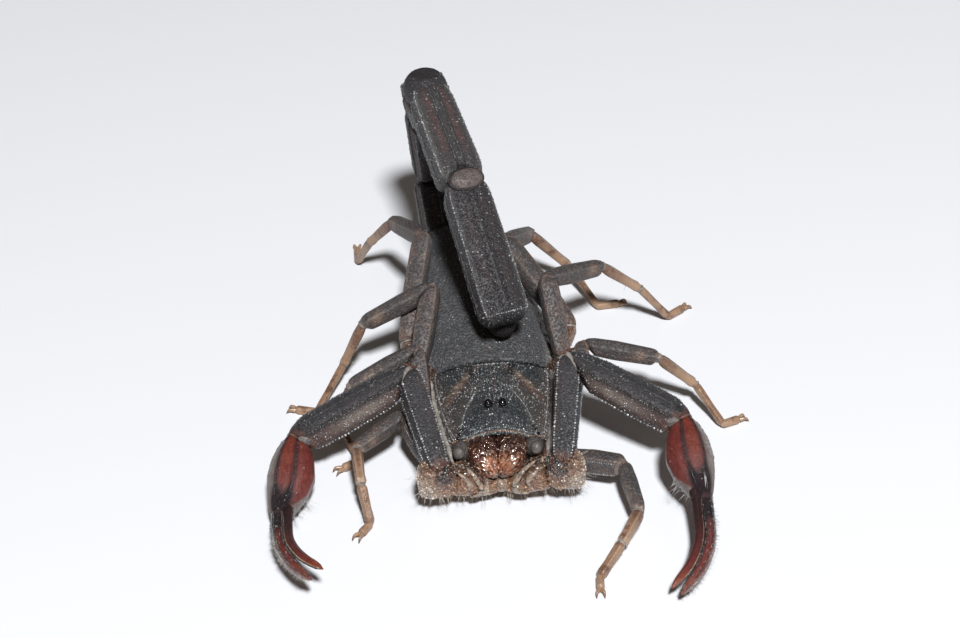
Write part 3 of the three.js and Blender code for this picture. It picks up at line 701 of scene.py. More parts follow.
CARAPACE_LENGTH, FRONT_HALF, BACK_HALF = 8.75, 3.62, 4.66
CARAPACE_CROWNS = [[0, 5.0], [0.5, 5.3], [1.7, 5.75], [2.4, 6.0], [3.2, 6.02], [4.2, 5.75], [6.0, 5.6],
                   [8.75, 5.5]]
NOTCH_RADIUS, NOTCH_DEPTH = 5.6, 0.45
EYE_RADIUS, EYES_APART = 0.36, 1.1


def front_edge(u):
    """The carapace's front edge is hollowed between its corners."""
    x = np.clip(np.abs(u) * 3.35, 0, NOTCH_RADIUS)
    return np.maximum(NOTCH_DEPTH - NOTCH_RADIUS + np.sqrt(NOTCH_RADIUS**2 - x**2), 0.0)


def carapace_turn(y):
    """An angle that rises from 0 at the front edge to a quarter turn at the back edge."""
    return np.clip(y, 0, CARAPACE_LENGTH) / CARAPACE_LENGTH * np.pi / 2


def carapace_half(y):
    """Half the carapace's width, which grows to its back edge."""
    return FRONT_HALF + (BACK_HALF - FRONT_HALF) * np.sin(carapace_turn(y))


def carapace():
    def edge(y):
        return 4.45 + 0.3 * step(2.5, 0.0, y)

    def crown(y):
        near = [np.interp(y + k, *zip(*CARAPACE_CROWNS)) for k in (-0.3, -0.15, 0, 0.15, 0.3)]
        return np.mean(near, axis=0)

    def relief(u, t, x, y):
        ax = np.abs(x)
        furrow_at = 1.15 + (8.1 - y) * 0.62
        furrow = hump(ax, furrow_at, 0.3) * step(8.5, 7.6, y) * step(3.6, 4.6, y)
        median = hump(x, 0, 0.16) * step(3.5, 4.2, y) * step(8.7, 8.0, y)
        keel = hump(ax, 1.62 - 0.25 * step(8.6, 7.4, y), 0.16) * step(6.6, 7.6, y) * step(8.75, 8.6, y)
        hollow = hump(ax, 1.55, 0.75) * hump(y, 2.55, 0.9)
        tubercle = hump(x, 0, 0.95) * hump(y, EYE_Y, 0.8)
        sockets = hump(ax, EYES_APART / 2, 0.42) * hump(y, EYE_Y, 0.45)
        brow = hump(ax, 1.0 + (2.2 - y) * 0.55, 0.22) * step(0.4, 0.9, y) * step(2.4, 1.8, y)
        side_edge = hump(np.abs(u), 0.93, 0.05)
        return (-0.26 * furrow - 0.12 * median + 0.2 * keel - 0.18 * hollow + 0.12 * tubercle
                - 0.12 * sockets + 0.06 * brow + 0.05 * side_edge) * step(1.0, 0.9, np.abs(u))

    skin = plate(front_edge, lambda u: CARAPACE_LENGTH + 0 * u, carapace_half, crown, edge, 0.85,
                 relief=relief, rows=84, columns=96)
    x, y, u = skin.x, skin.y, skin.u
    ax = np.abs(x)
    furrow = hump(ax, 1.45 + (7.9 - y) * 0.62, 0.42) * step(8.7, 8.0, y) * step(3.9, 5.2, y)
    wander = 0.12 * np.sin(y * 6.1) + 0.08 * np.sin(y * 15)
    patch = hump(ax, 1.75 + (7.6 - y) * 0.75 + wander, 0.22) * step(8.5, 7.7, y) * step(4.9, 6.2, y)
    dashes = 0.55 + 0.45 * np.sin(y * 7.5)
    flank = step(0.7, 0.95, np.abs(u))
    outside = step(2.7, 3.1, ax + 0.24 * y + 0.02 * y**2) * step(7.5, 5.5, y)
    skin.brush(
        light=0.75 * patch * (0.6 + 0.4 * np.sin(y * 11 + ax * 5)) + 0.08 * outside
        + 1.0 * hump(y, 8.66, 0.09) * step(1.7, 1.4, ax),
        tone=0.7 * dashes * hump(x, 0.05 * np.sin(y * 9), 0.12) * step(3.9, 4.6, y) * step(8.8, 8.5, y)
        + 0.3 * furrow + 0.15 * flank * skin.top + 0.06 * outside,
        dark=hump(ax, 1.6, 0.3) * step(6.9, 7.7, y) * step(8.75, 8.6, y)
        + 0.8 * hump(ax, EYES_APART / 2, 0.45) * hump(y, EYE_Y, 0.5))
    smooth = hump(ax, 1.55, 0.5) * hump(y, 2.55, 0.75)
    cover = 0.3 + 0.7 * np.maximum(step(2.4, 0.8, y), step(3.0, 4.2, y) * step(3.0, 1.4, ax))
    cover = np.maximum(cover, 0.9 * step(0.72, 0.9, np.abs(u)))
    skin.brush(smooth=smooth, grain=skin.top * cover * (1 - smooth) * (1 - 0.6 * np.clip(patch, 0, 1)))
    add_piece("carapace_plate", [skin], "head", ["carapace"])
    growth.field([skin], "head")

    def on_top(px, py):
        """Points on the carapace's back."""
        px, py = np.asarray(px, float), np.asarray(py, float)
        across = px / carapace_half(py)
        z = edge(py) + (crown(py) - edge(py)) * (1 - np.abs(across) ** PLATE_ROUNDNESS)
        z = z + relief(across, py / CARAPACE_LENGTH, px, py)
        return np.stack([px, py, z], -1)

    run = np.linspace(-0.96, 0.96, 60)
    xs = run * 3.6
    growth.row("amber", on_top(xs, front_edge(run) + 0.08), 0.045)
    growth.row("pearl_small", on_top(xs * 0.97, front_edge(run) + 0.35), 0.05)
    for side in (-1, 1):
        ys = np.linspace(0.5, 8.4, 50)
        growth.row("pearl_small", on_top(side * carapace_half(ys) * 0.93, ys), 0.045)
        ys = np.linspace(1.0, 5.2, 40)
        growth.row("pearl_small", on_top(side * (3.1 - 0.24 * ys - 0.02 * ys**2), ys), 0.055)
        ys = np.linspace(6.9, 8.62, 16)
        growth.row("stud", on_top(side * (1.62 - 0.25 * step(8.6, 7.4, ys)), ys), 0.14)
        turn = np.linspace(0, 2 * np.pi, 30)
        ring = on_top(side * EYES_APART / 2 + 0.42 * np.cos(turn), EYE_Y + 0.42 * np.sin(turn))
        growth.row("stud", ring, 0.05)
    xs = np.linspace(-1.5, 1.5, 30)
    growth.row("pearl_small", on_top(xs, 8.55 + 0 * xs), 0.05)
    ys = np.linspace(3.6, 8.4, 26)
    growth.row("dull", on_top(0.06 * np.sin(ys * 9), ys), 0.045)


def eyes():
    for name, side in (("L", 1), ("R", -1)):
        middle = EYE_MIDDLE + [side * EYES_APART / 2, 0, 0]
        lens = bulb(middle, LEFT, (EYE_RADIUS * 0.98, EYE_RADIUS, EYE_RADIUS * 0.98), columns=32)
        add_piece(f"eye_lens_{name}", [lens.brush(smooth=1.0)], "eye", [f"eye_{name}"])
    small = [bulb(np.array([side * (3.02 - 0.14 * k), 0.35 + 0.36 * k, 4.92 + 0.1 * k]), LEFT,
                  (0.13, 0.14, 0.13), columns=16).brush(smooth=1.0)
             for side in (-1, 1) for k in range(3)]
    add_piece("side_eyes", small, "eye")


# ---------------------------------------------------------------- trunk

TRUNK_START, TRUNK_LENGTH, TRUNK_SWING = 9.05, 18.4, -2.6
TERGITE_LENGTHS = [1.5, 1.9, 2.3, 2.6, 2.8, 3.1, 3.6]
BELLY_SPAN, BELLY_TOP = (0.02, 0.97), 3.75
TERGITE_CROWNS = [5.6, 5.8, 6.0, 6.15, 6.2, 6.2, 6.2, 6.3]


def trunk_point(distance):
    share = np.maximum(distance, 0) / TRUNK_LENGTH
    return np.stack([TRUNK_SWING * share**1.4, TRUNK_START + distance, 0 * share], -1)


def trunk_side(distance):
    return unit(np.cross(trunk_point(distance + 0.1) - trunk_point(distance - 0.1), UP))


def trunk_half(distance):
    share = np.asarray(distance) / TRUNK_LENGTH
    shoulder = 0.92 + 0.08 * np.sin(np.minimum(share / 0.35, 1) * np.pi / 2)
    taper = np.where(share < 0.45, 1, 1 - 0.56 * np.maximum((share - 0.45) / 0.55, 0) ** 1.7)
    return 5.15 * shoulder * taper


def trunk_line(distance, across):
    return trunk_point(distance) + trunk_side(distance) * across[..., None]


def tergites():
    start = 0.0
    for k, length in enumerate(TERGITE_LENGTHS):
        first, last = start, start + length + (0.06 if k < 6 else -0.3)
        start += length
        crown = lambda d, k=k, a=first, b=last: (
            TERGITE_CROWNS[k] + (TERGITE_CROWNS[k + 1] - TERGITE_CROWNS[k] + 0.06) * (d - a) / (b - a))

        def relief(u, t, x, d):
            band = hump(t, 0.86, 0.08) * 0.05
            ridge = hump(x, 0, 0.22) * step(0.2, 0.4, t) * 0.09
            step_down = -0.05 * step(0.3, 0.12, t)
            waist = -0.05 * hump(np.abs(x), 2.6, 0.8) * hump(t, 0.5, 0.25)
            return (band + ridge + step_down + waist) * step(1.0, 0.9, np.abs(u))

        skin = plate(lambda u, a=first: a + 0 * u, lambda u, b=last: b + 0 * u, trunk_half, crown,
                     lambda d: 4.35 + 0.25 * d / TRUNK_LENGTH, 1.0, relief=relief, rows=26, columns=60,
                     line=trunk_line)
        edge = step(0.86, 0.97, np.abs(skin.u))
        skin.brush(
            tone=0.4 * hump(skin.x, 0, 0.16) * step(0.2, 0.5, skin.t) * (1 - 0.12 * k) + 0.2 * edge + 0.04,
            light=0.5 * edge * skin.top + 0.1 * step(0.97, 1.0, skin.t),
            dark=0.18 * step(0.15, 0.0, skin.t),
            grain=skin.top * (0.2 + 0.7 * hump(skin.t, 0.7, 0.2) + 0.2 * hump(skin.x, 0, 0.3)))
        add_piece(f"tergite_plate_{k + 1}", [skin], "back", [f"tergite_{k + 1}"])
        growth.field([skin], "back", "back_fine")
        t = int(np.argmin(np.abs(skin.t[:, 0] - 0.93)))
        growth.row("dull", skin.grid[t, 4:56], 0.055)


def belly_bottom(share):
    return 1.6 + 1.7 * share**3


def belly():
    path = Path(trunk_point(np.linspace(0.0, TRUNK_LENGTH, 40)))
    table = []
    for share in np.linspace(*BELLY_SPAN, 40):
        distance = share * TRUNK_LENGTH
        half = min(trunk_half(distance) * 0.96, 0.9 + distance * 0.95)
        table.append([share, 2 * half, BELLY_TOP - belly_bottom(share)])
    rows = np.linspace(0, 1, 90)
    grooves = np.cumsum(TERGITE_LENGTHS)[1:6] / TRUNK_LENGTH
    skin = loft(path, table, 2.857, rows=rows, soft=0.01,
                relief=lambda t, angle: -0.09 * sum(hump(t, groove, 0.008) for groove in grooves))
    # The loft's middle line lies on the floor's level, so each row is lifted to its own height.
    share = BELLY_SPAN[0] + rows * (BELLY_SPAN[1] - BELLY_SPAN[0])
    skin.grid = skin.grid + UP * ((belly_bottom(share) + BELLY_TOP) / 2)[:, None, None]
    skin.brush(
        light=0.8 * step(-20, 20, (skin.angle + 90) % 360 - 90) * step(200, 160, skin.angle),
        tone=0.7,
        smooth=0.6)
    add_piece("belly_plates", [skin], "under", ["belly"])
    # Pleated soft skin between the back plates and the belly plates.
    sides = []
    for side in (-1, 1):
        d = np.linspace(0.3, TRUNK_LENGTH * 0.97, 60)
        points = trunk_point(d) + trunk_side(d) * (side * (trunk_half(d) - 0.42))[:, None] + UP * 3.9
        pleats = loft(Path(points), [[0, 0.9, 1.0], [0.3, 1.2, 1.1], [1, 0.9, 1.1]], 2.2, lip=0.0,
                      rows=np.linspace(0, 1, 140), columns=24,
                      relief=lambda t, angle: 0.05 * np.sin(t * 130) + 0.02 * np.sin(t * 41))
        sides.append(pleats.brush(light=0.5))
    add_piece("pleural_skin", sides, "skin")


# ---------------------------------------------------------------- legs

LEG_LENGTHS = {"1": [4.7, 4.7, 3.3, 3.0, 1.3], "2": [6.0, 5.8, 4.4, 3.8, 1.5], "3": [6.4, 6.1, 4.8, 4.7, 1.8],
               "4": [8.9, 6.3, 5.3, 4.3, 1.9]}
LEG_GIRTH = {"1": 0.95, "2": 1.0, "3": 1.05, "4": 1.08}
LEG_FEMUR = [[-0.02, 1.1, 1.3], [0.12, 1.4, 1.65], [0.5, 1.7, 1.9], [0.93, 1.6, 1.75], [1.03, 1.1, 1.2]]
LEG_PATELLA = [[-0.04, 0.85, 0.95], [0.1, 1.2, 1.32], [0.4, 1.3, 1.48], [0.9, 1.15, 1.28], [1.02, 0.85, 0.95]]
LEGS = {
    "L1": ([5.0, 0.5, 2.2], [[-25, 6], [-82, -8], [-120, -8]], [-131, -94]),
    "L2": ([5.2, 4.7, 3.3], [[65, 25], [-20, -2], [10, -47]], [-56, 22]),
    "L3": ([5.7, 9.5, 4.8], [[100, 44], [37, -16], [22, -44]], [25, 38]),
    "L4": ([6.6, 13.3, 5.0], [[124, 26], [66, -27], [10, -50]], [-62, 7]),
    "R1": ([-5.0, 0.6, 2.2], [[118, 27], [-143, -8], [-86, -15]], [-74, -126]),
    "R2": ([-5.4, 4.4, 3.0], [[93, 42], [-161, -17], [151, -75]], [-70, -152]),
    "R3": ([-5.5, 9.4, 5.1], [[75, 35], [-172, -24], [159, -66]], [-120, 162]),
    "R4": ([-6.35, 13.0, 4.8], [[75, 34], [113, -19], [126, -48]], [114, 90]),
}
COXA_ROOTS = {"1": [0.9, 1.7, 1.95], "2": [0.9, 3.6, 2.1], "3": [0.9, 5.6, 2.3], "4": [0.9, 7.8, 2.35]}
LEG_JOINT_SKINS = ((2, (0.3, 0.46, 0.53), 0.5, 0.2), (3, (0.26, 0.44, 0.5), 0.1, 0.6),
                   (4, (0.26, 0.37, 0.41), 0.4, 0.3))
SHIN = [[-0.05, 0.56, 0.6], [0.04, 0.68, 0.76], [0.2, 0.76, 0.88], [0.75, 0.62, 0.72], [0.9, 0.72, 0.8],
        [1.0, 0.56, 0.6]]
HEEL = [[-0.02, 0.52, 0.58], [0.1, 0.64, 0.7], [0.6, 0.56, 0.62], [0.88, 0.62, 0.7], [1.02, 0.52, 0.56]]
TOE = [[-0.12, 0.46, 0.46], [0.05, 0.58, 0.62], [0.5, 0.6, 0.68], [0.88, 0.62, 0.72], [1.05, 0.42, 0.5]]
CLAW = [[0, 0.36, 0.4], [0.4, 0.24, 0.27], [0.8, 0.13, 0.14], [1, 0.03, 0.03]]
LEG_COXA = [[0, 1.5, 1.4], [0.08, 1.7, 1.6], [0.55, 1.7, 1.6], [0.66, 1.4, 1.4]]
LEG_TROCHANTER = [[0.66, 1.2, 1.2], [0.72, 1.45, 1.5], [0.85, 1.7, 1.7], [0.97, 1.4, 1.5], [1.02, 1.2, 1.3]]
FOOT_AXIS, HEEL_LIFT, PLATE_GAP = 0.34, 0.05, 0.12


def chain(start, lengths, turns):
    """Joints one after another. Each turn is (turn, pitch) of the segment to the next one."""
    joints = [np.array(start, float)]
    for length, turn in zip(lengths, turns):
        joints.append(joints[-1] + heading(*turn) * length)
    return joints


def leg_joints(name):
    """Joints of a leg from its root in the underside to the toe. The foot's pitch brings it to the floor."""
    hip, turns, foot = LEGS[name]
    lengths = LEG_LENGTHS[name[1]]
    root = np.array(COXA_ROOTS[name[1]], float)
    root[0] *= 1 if name[0] == "L" else -1
    bend = root + (np.array(hip) - root) * 0.72
    bend[2] = root[2] + (hip[2] - root[2]) * 0.4
    joints = chain(hip, lengths, turns)
    drop = math.degrees(math.asin((FOOT_AXIS + HEEL_LIFT - joints[3][2]) / lengths[3]))
    joints.append(joints[3] + heading(foot[0], drop) * lengths[3])
    toe = joints[4] + heading(foot[1]) * lengths[4]
    toe[2] = FOOT_AXIS
    return [root, bend, *joints, toe]


def joint_plane(joints, k, side, gap=PLATE_GAP):
    """The plane that halves the bend at joint k, seen from the segment before it (1) or after it (-1)."""
    inward = unit(joints[k] - joints[k - 1])
    outward = unit(joints[k + 1] - joints[k]) if k + 1 < len(joints) else inward
    normal = unit(inward + outward) * side
    return joints[k] - normal * gap / 2, normal


def segment(joints, k, table, power, overlap=0.0, **settings):
    """The shell from joint k to the next. overlap is how far it runs into the piece before it."""
    cuts = [joint_plane(joints, k, -1, PLATE_GAP - overlap), joint_plane(joints, k + 1, 1)]
    return loft(Path(joints[k:k + 2]), table, power, cuts=cuts, **settings)


def joint_skin(joints, k, size, light=0.4, tone=0.2, **settings):
    """Soft skin in the gap at joint k."""
    axis = unit(joints[k] - joints[k - 1]) + unit(joints[k + 1] - joints[k])
    return bulb(joints[k], axis, size, **settings).brush(light=light, tone=tone)


def widened(table, times):
    return [[place_along, width * times, height * times] for place_along, width, height in table]


def foot(name, joints):
    """Tibia, basitarsus, telotarsus, claws and spur of a leg."""
    start, ankle, heel, toe = joints[4:8]
    stout = 1.3 if name[1] == "1" else 1.0
    mirrored = name[0] == "R"
    tibia = loft(Path([start, ankle]), widened(SHIN, stout), 2.5, cuts=[joint_plane(joints, 4, -1)],
                 mirrored=mirrored, columns=36, keels=[(60, 0.05, 10), (120, 0.05, 10), (-60, 0.04, 12)])
    t, a = tibia.t, tibia.angle
    tibia.brush(
        tone=0.75 * step(0.9, 0.1, t) + 0.4 * around(a, 90, 40),
        dark=0.35 * step(0.4, 0.1, t) * around(a, 90, 50),
        light=0.5 * step(0.93, 1.0, t) + 0.3 * pair(a, 60, 8),
        bristle=around(a, -90, 70) * step(0.3, 0.6, t))
    basi = loft(Path([ankle, heel]), widened(HEEL, stout), 2.4, mirrored=mirrored, columns=32,
                keels=[(60, 0.04, 12), (120, 0.04, 12)])
    basi.brush(
        tone=0.45 * around(basi.angle, 90, 50) + 0.2,
        light=0.5 * step(0.06, 0.0, basi.t) + 0.5 * step(0.95, 1.0, basi.t),
        bristle=around(basi.angle, -90, 60))
    telo = loft(Path([heel, toe]), TOE, 2.3, mirrored=mirrored, columns=32)
    telo.brush(tone=0.15, bristle=around(telo.angle, -90, 80))
    forward = unit(np.array([toe[0] - heel[0], toe[1] - heel[1], 0]))
    claws = []
    for side in (-1, 1):
        sideways = np.cross(forward, UP) * side
        tip = toe + forward * 0.7 + sideways * 0.3
        tip[2] = 0.08
        knee = toe + forward * 0.42 + sideways * 0.26
        knee[2] = FOOT_AXIS + 0.08
        claw = loft(Path([toe + sideways * 0.1, knee, tip]), CLAW, columns=14, lip=0,
                    rows=np.linspace(0, 1, 18))
        claws.append(claw.brush(tone=step(0.3, 1.0, claw.t), dark=step(0.6, 1.0, claw.t), smooth=1.0))
    spur = loft(Path([heel + UP * 0.05, heel + np.array([0, 0, -0.28]) + forward * 0.22]),
                [[0, 0.2, 0.2], [1, 0.03, 0.03]], columns=10, lip=0, rows=np.linspace(0, 1, 8))
    skins = [tibia, basi, telo, *claws, spur]
    for skin in skins:
        skin.grid = np.concatenate([skin.grid[..., :2], np.maximum(skin.grid[..., 2:], 0.0)], -1)
    add_piece(f"leg_{name}_foot_shell", skins, "foot", [f"leg_{name}_foot"])
    return skins[:3]


def leg(name, joints):
    """Femur, patella and foot of a leg."""
    girth, mirrored = LEG_GIRTH[name[1]], name[0] == "R"
    femur = segment(joints, 2, widened(LEG_FEMUR, girth), 2.6, mirrored=mirrored, columns=48,
                    keels=[(50, 0.07, 8), (130, 0.07, 8), (-50, 0.06, 8), (-130, 0.06, 8), (90, 0.04, 6)])
    t, a = femur.t, femur.angle
    femur.brush(
        tone=0.5 * step(0.15, 0.0, t) + 0.6 * around(a, -90, 50) + 0.4 * step(0.93, 1.0, t)
        + 0.4 * pair(a, 50, 5),
        light=0.2 * around(a, 50, 4) + 0.2 * around(a, 130, 4) + 0.4 * step(0.98, 1.0, t),
        dark=0.2 * around(a, 90, 30) * step(0.2, 0.5, t),
        grain=0.12 * around(a, 90, 60),
        bristle=0.4 * around(a, -60, 40))
    add_piece(f"leg_{name}_femur_shell", [femur], "leg", [f"leg_{name}_femur"])
    patella = segment(joints, 3, widened(LEG_PATELLA, girth), 2.6, mirrored=mirrored, columns=48,
                      keels=[(40, 0.07, 9), (90, 0.05, 8), (140, 0.06, 9), (-60, 0.05, 10)])
    t, a = patella.t, patella.angle
    patch = hump(t, 0.74, 0.09) * around(a, 20, 34)
    patella.brush(
        tone=1.0 * patch + 0.7 * step(0.9, 1.0, t) + 0.5 * around(a, -90, 60),
        light=0.2 * patch + 0.7 * step(0.96, 1.0, t) + 0.2 * around(a, 40, 4),
        dark=0.2 * around(a, 100, 40) * step(0.8, 0.4, t),
        grain=0.1 * around(a, 60, 60),
        bristle=0.3 * around(a, -60, 40))
    add_piece(f"leg_{name}_patella_shell", [patella], "leg", [f"leg_{name}_patella"])
    growth.field([femur, patella, *foot(name, joints)], "leg_hair")
    growth.field([femur, patella], "leg")
    if name[1] == "1":
        growth.along(femur, ("pearl_small", 0.06, 40, 0.05, 0.95), ("pearl_small", 0.05, -40, 0.05, 0.95))


def leg_root(name, joints):
    """Coxa and trochanter of a leg, and the soft skin between them."""
    path, mirrored = Path(joints[:3]), name[0] == "R"
    coxa = loft(path, LEG_COXA, 2.6, mirrored=mirrored, columns=40,
                keels=[(60, 0.06, 10), (120, 0.06, 10), (-90, 0.05, 12)])
    coxa.brush(
        tone=around(coxa.angle, 90, 110),
        dark=0.85 * around(coxa.angle, 90, 110) * (name[1] in "234"),
        light=0.3 * step(0.9, 1.0, coxa.t),
        grain=0.2)
    trochanter = loft(path, LEG_TROCHANTER, 2.3, mirrored=mirrored, columns=40,
                      cuts=[joint_plane(joints, 2, 1)], keels=[(60, 0.05, 12), (120, 0.05, 12)])
    t, a = trochanter.t, trochanter.angle
    trochanter.brush(
        tone=0.6 * around(a, 90, 80),
        dark=(0.75 if name[1] == "3" else 0.5) * around(a, 90, 60),
        light=0.7 * step(0.06, 0.0, t) + 0.5 * step(0.94, 1.0, t),
        bristle=0.3,
        grain=0.3)
    growth.field([trochanter], "leg_hair")
    middle, _, _, forward = path.frame(0.68)
    return [coxa, trochanter], bulb(middle, forward, (0.3, 0.62, 0.62)).brush(light=0.8)


def carapace_rim(side):
    """The pale strip under one side edge of the carapace, and the dark fold below it."""
    y = np.linspace(9.2, 0.1, 12)
    x = FRONT_HALF + 0.1 + np.sin(carapace_turn(y))
    rim = np.stack([side * x, y, 4.15 + 0.2 * y / 9], -1)
    rim = np.concatenate([rim, [[side * FRONT_HALF, -0.7, 3.75], [side * 3.5, -1.3, 3.3]]])
    strip = loft(Path(rim), [[0, 0.3, 0.3], [0.1, 0.42, 0.5], [0.85, 0.42, 0.5], [1, 0.25, 0.3]], 2.0,
                 columns=20, lip=0, rows=np.linspace(0, 1, 90),
                 relief=lambda t, angle: 0.03 * np.sin(t * 60))
    fold = loft(Path(rim - UP * 0.75 - [side * 0.12, 0, 0]), [[0, 0.7, 1.0], [1, 0.6, 0.9]], 2.0, columns=20,
                rows=np.linspace(0, 1, 60), relief=lambda t, angle: 0.04 * np.sin(t * 47))
    # The strip on the animal's left side gets far less pale paint than the one on its right. That is painted
    # shade, because that side lies in shadow.
    return [strip.brush(light=0.75 if side < 0 else 0.15),
            fold.brush(tone=0.9, dark=0.9 * step(0.75, 0.6, fold.t))]


def legs():
    roots, soft = [], []
    for name in LEGS:
        joints = leg_joints(name)
        leg(name, joints)
        girth = LEG_GIRTH[name[1]]
        for k, (along, across, tall), light, tone in LEG_JOINT_SKINS:
            soft.append(joint_skin(joints, k, (along, across * girth, tall * girth), light, tone))
        soft.append(joint_skin(joints, 5, (0.2, 0.33, 0.36), 0.4, 0.3))
        shells, neck = leg_root(name, joints)
        roots.extend(shells)
        soft.append(neck)
    breast = loft(Path([[0, 0.6, 2.0], [0, 9.0, 2.2]]), [[0, 2.2, 0.9], [0.3, 3, 1.2], [1, 3, 1.3]], 3.0)
    breast.brush(tone=0.4, bristle=0.3)
    lip_plate = loft(Path([[0, -2.35, 1.95], [0, 0.9, 1.9]]),
                     [[0, 0.3, 0.3], [0.06, 0.8, 0.8], [0.2, 1.15, 1.15], [0.6, 1.2, 1.0], [1, 1.4, 0.8]],
                     2.2, columns=32)
    lip_plate.brush(light=0.45 * step(0.5, 0.1, lip_plate.t))
    soft.extend([*carapace_rim(-1), *carapace_rim(1)])
    add_piece("prosoma_underside_shell", [*roots, breast, lip_plate], "under",
              ["prosoma_underside"])
    add_piece("leg_joint_skin", soft, "skin")


# ---------------------------------------------------------------- pincer arms

PALP_LENGTHS = [7.7, 9.7, 5.8, 9.4]
FINGER_BOW = 1.15
PALPS = {
    # Each arm: hip, turn and pitch of its four segments, and how far its fingers gape.
    "L": ([4.7, -1.8, 4.3], [[80, 28], [-32, -15], [-88, -23], [-107, -9]], 0.0),
    "R": ([-4.7, -1.8, 4.3], [[104, 24], [-164, -20], [-99, -24], [-74, 10]], 0.35),
}
PALP_COXA_PATH = [[0.3, -1.2, 1.7], [1.6, -1.3, 1.95], [2.7, -1.5, 2.55], [3.4, -1.75, 2.9]]
PALP_COXA = [[0, 1.9, 0.8], [0.35, 2.3, 1.5], [0.75, 2.4, 2.3], [1, 2.1, 2.6]]
PALP_ROOT = (4.95, -2.2, 3.15)
TROCHANTER = [[0, 1.0, 1.0], [0.02, 1.8, 1.7], [0.08, 2.5, 2.4], [0.2, 2.85, 2.75], [0.55, 2.9, 2.8],
              [0.85, 2.5, 2.6], [1, 1.7, 1.9]]
PALP_FEMUR = [[-0.08, 1.5, 1.6], [0.08, 1.9, 2.1], [0.5, 2.1, 2.35], [0.9, 2.2, 2.5], [1, 1.9, 2.1],
              [1.04, 1.5, 1.7]]
PALP_PATELLA = [[-0.05, 1.4, 1.6], [0.04, 1.9, 2], [0.25, 2.4, 2.5], [0.6, 2.6, 2.6], [0.88, 2.5, 2.5],
                [0.97, 2, 2], [1.03, 1.6, 1.6]]
HAND = [[-0.02, 1.5, 1.6], [0.07, 2.2, 2.2], [0.3, 3.2, 3], [0.56, 3.6, 3.2], [0.78, 3.1, 2.85, 0.12],
        [0.94, 2.45, 2.2, 0.3], [1.06, 1.9, 1.65, 0.42], [1.15, 1.3, 1.1, 0.5], [1.21, 0.5, 0.5, 0.5]]
FINGER = [[-0.1, 1.1, 1.5], [0.04, 0.84, 1.2], [0.2, 0.66, 0.95], [0.45, 0.64, 0.84], [0.75, 0.68, 0.8],
          [0.9, 0.6, 0.68], [0.97, 0.38, 0.42], [1, 0.12, 0.12]]
COXA_RIDGES = (
    ((3.65, -1.0, 3.8), (2.65, -1.65, 3.8), (1.95, -2.25, 3.65), (1.5, -2.6, 3.15), (1.2, -2.65, 2.45),
     (1.5, -2.6, 1.85), (2.2, -2.55, 1.6)),
    ((3.2, -2.1, 3.7), (2.55, -2.5, 3.4), (2.15, -2.7, 2.9), (2.3, -2.75, 2.45)),
)
COXA_RIDGE = [[0, 0.12, 0.12], [0.3, 0.3, 0.26], [0.75, 0.5, 0.42], [1, 0.12, 0.12]]
LOWER_FINGER = [[-0.16, 1.4, 1.8], [0.0, 1.15, 1.5], [0.15, 1.0, 1.25], [0.45, 0.92, 1.0], [0.75, 0.88, 0.9],
                [0.9, 0.72, 0.76], [0.97, 0.42, 0.46], [1, 0.12, 0.12]]


def palp_joints(name):
    """Joints of a pincer arm from its root to the tip of the fingers."""
    hip, turns, _ = PALPS[name]
    root = PALP_ROOT * np.array([1 if name == "L" else -1, 1, 1])
    return [root, *chain(hip, PALP_LENGTHS, turns)]


def finger_path(name, joints, outward, above, opened):
    """The curved line of a finger beside the line from the knuckle to the tip."""
    mirror = 1 if name == "L" else -1
    knuckle, tip = joints[4], joints[5]
    across = unit(np.cross(unit(tip - knuckle), UP)) * -mirror
    middle = Path([knuckle + (tip - knuckle) * k + across * FINGER_BOW * math.sin(math.pi * k**1.2)
                   for k in np.linspace(0, 1, 5)])
    share = np.linspace(0, 1, 25)
    at, side, up, _ = middle.frame(share)
    offset = (outward + opened * step(0.55, 1.0, share)) * -mirror
    return Path(at + side * offset[:, None] + up * above)


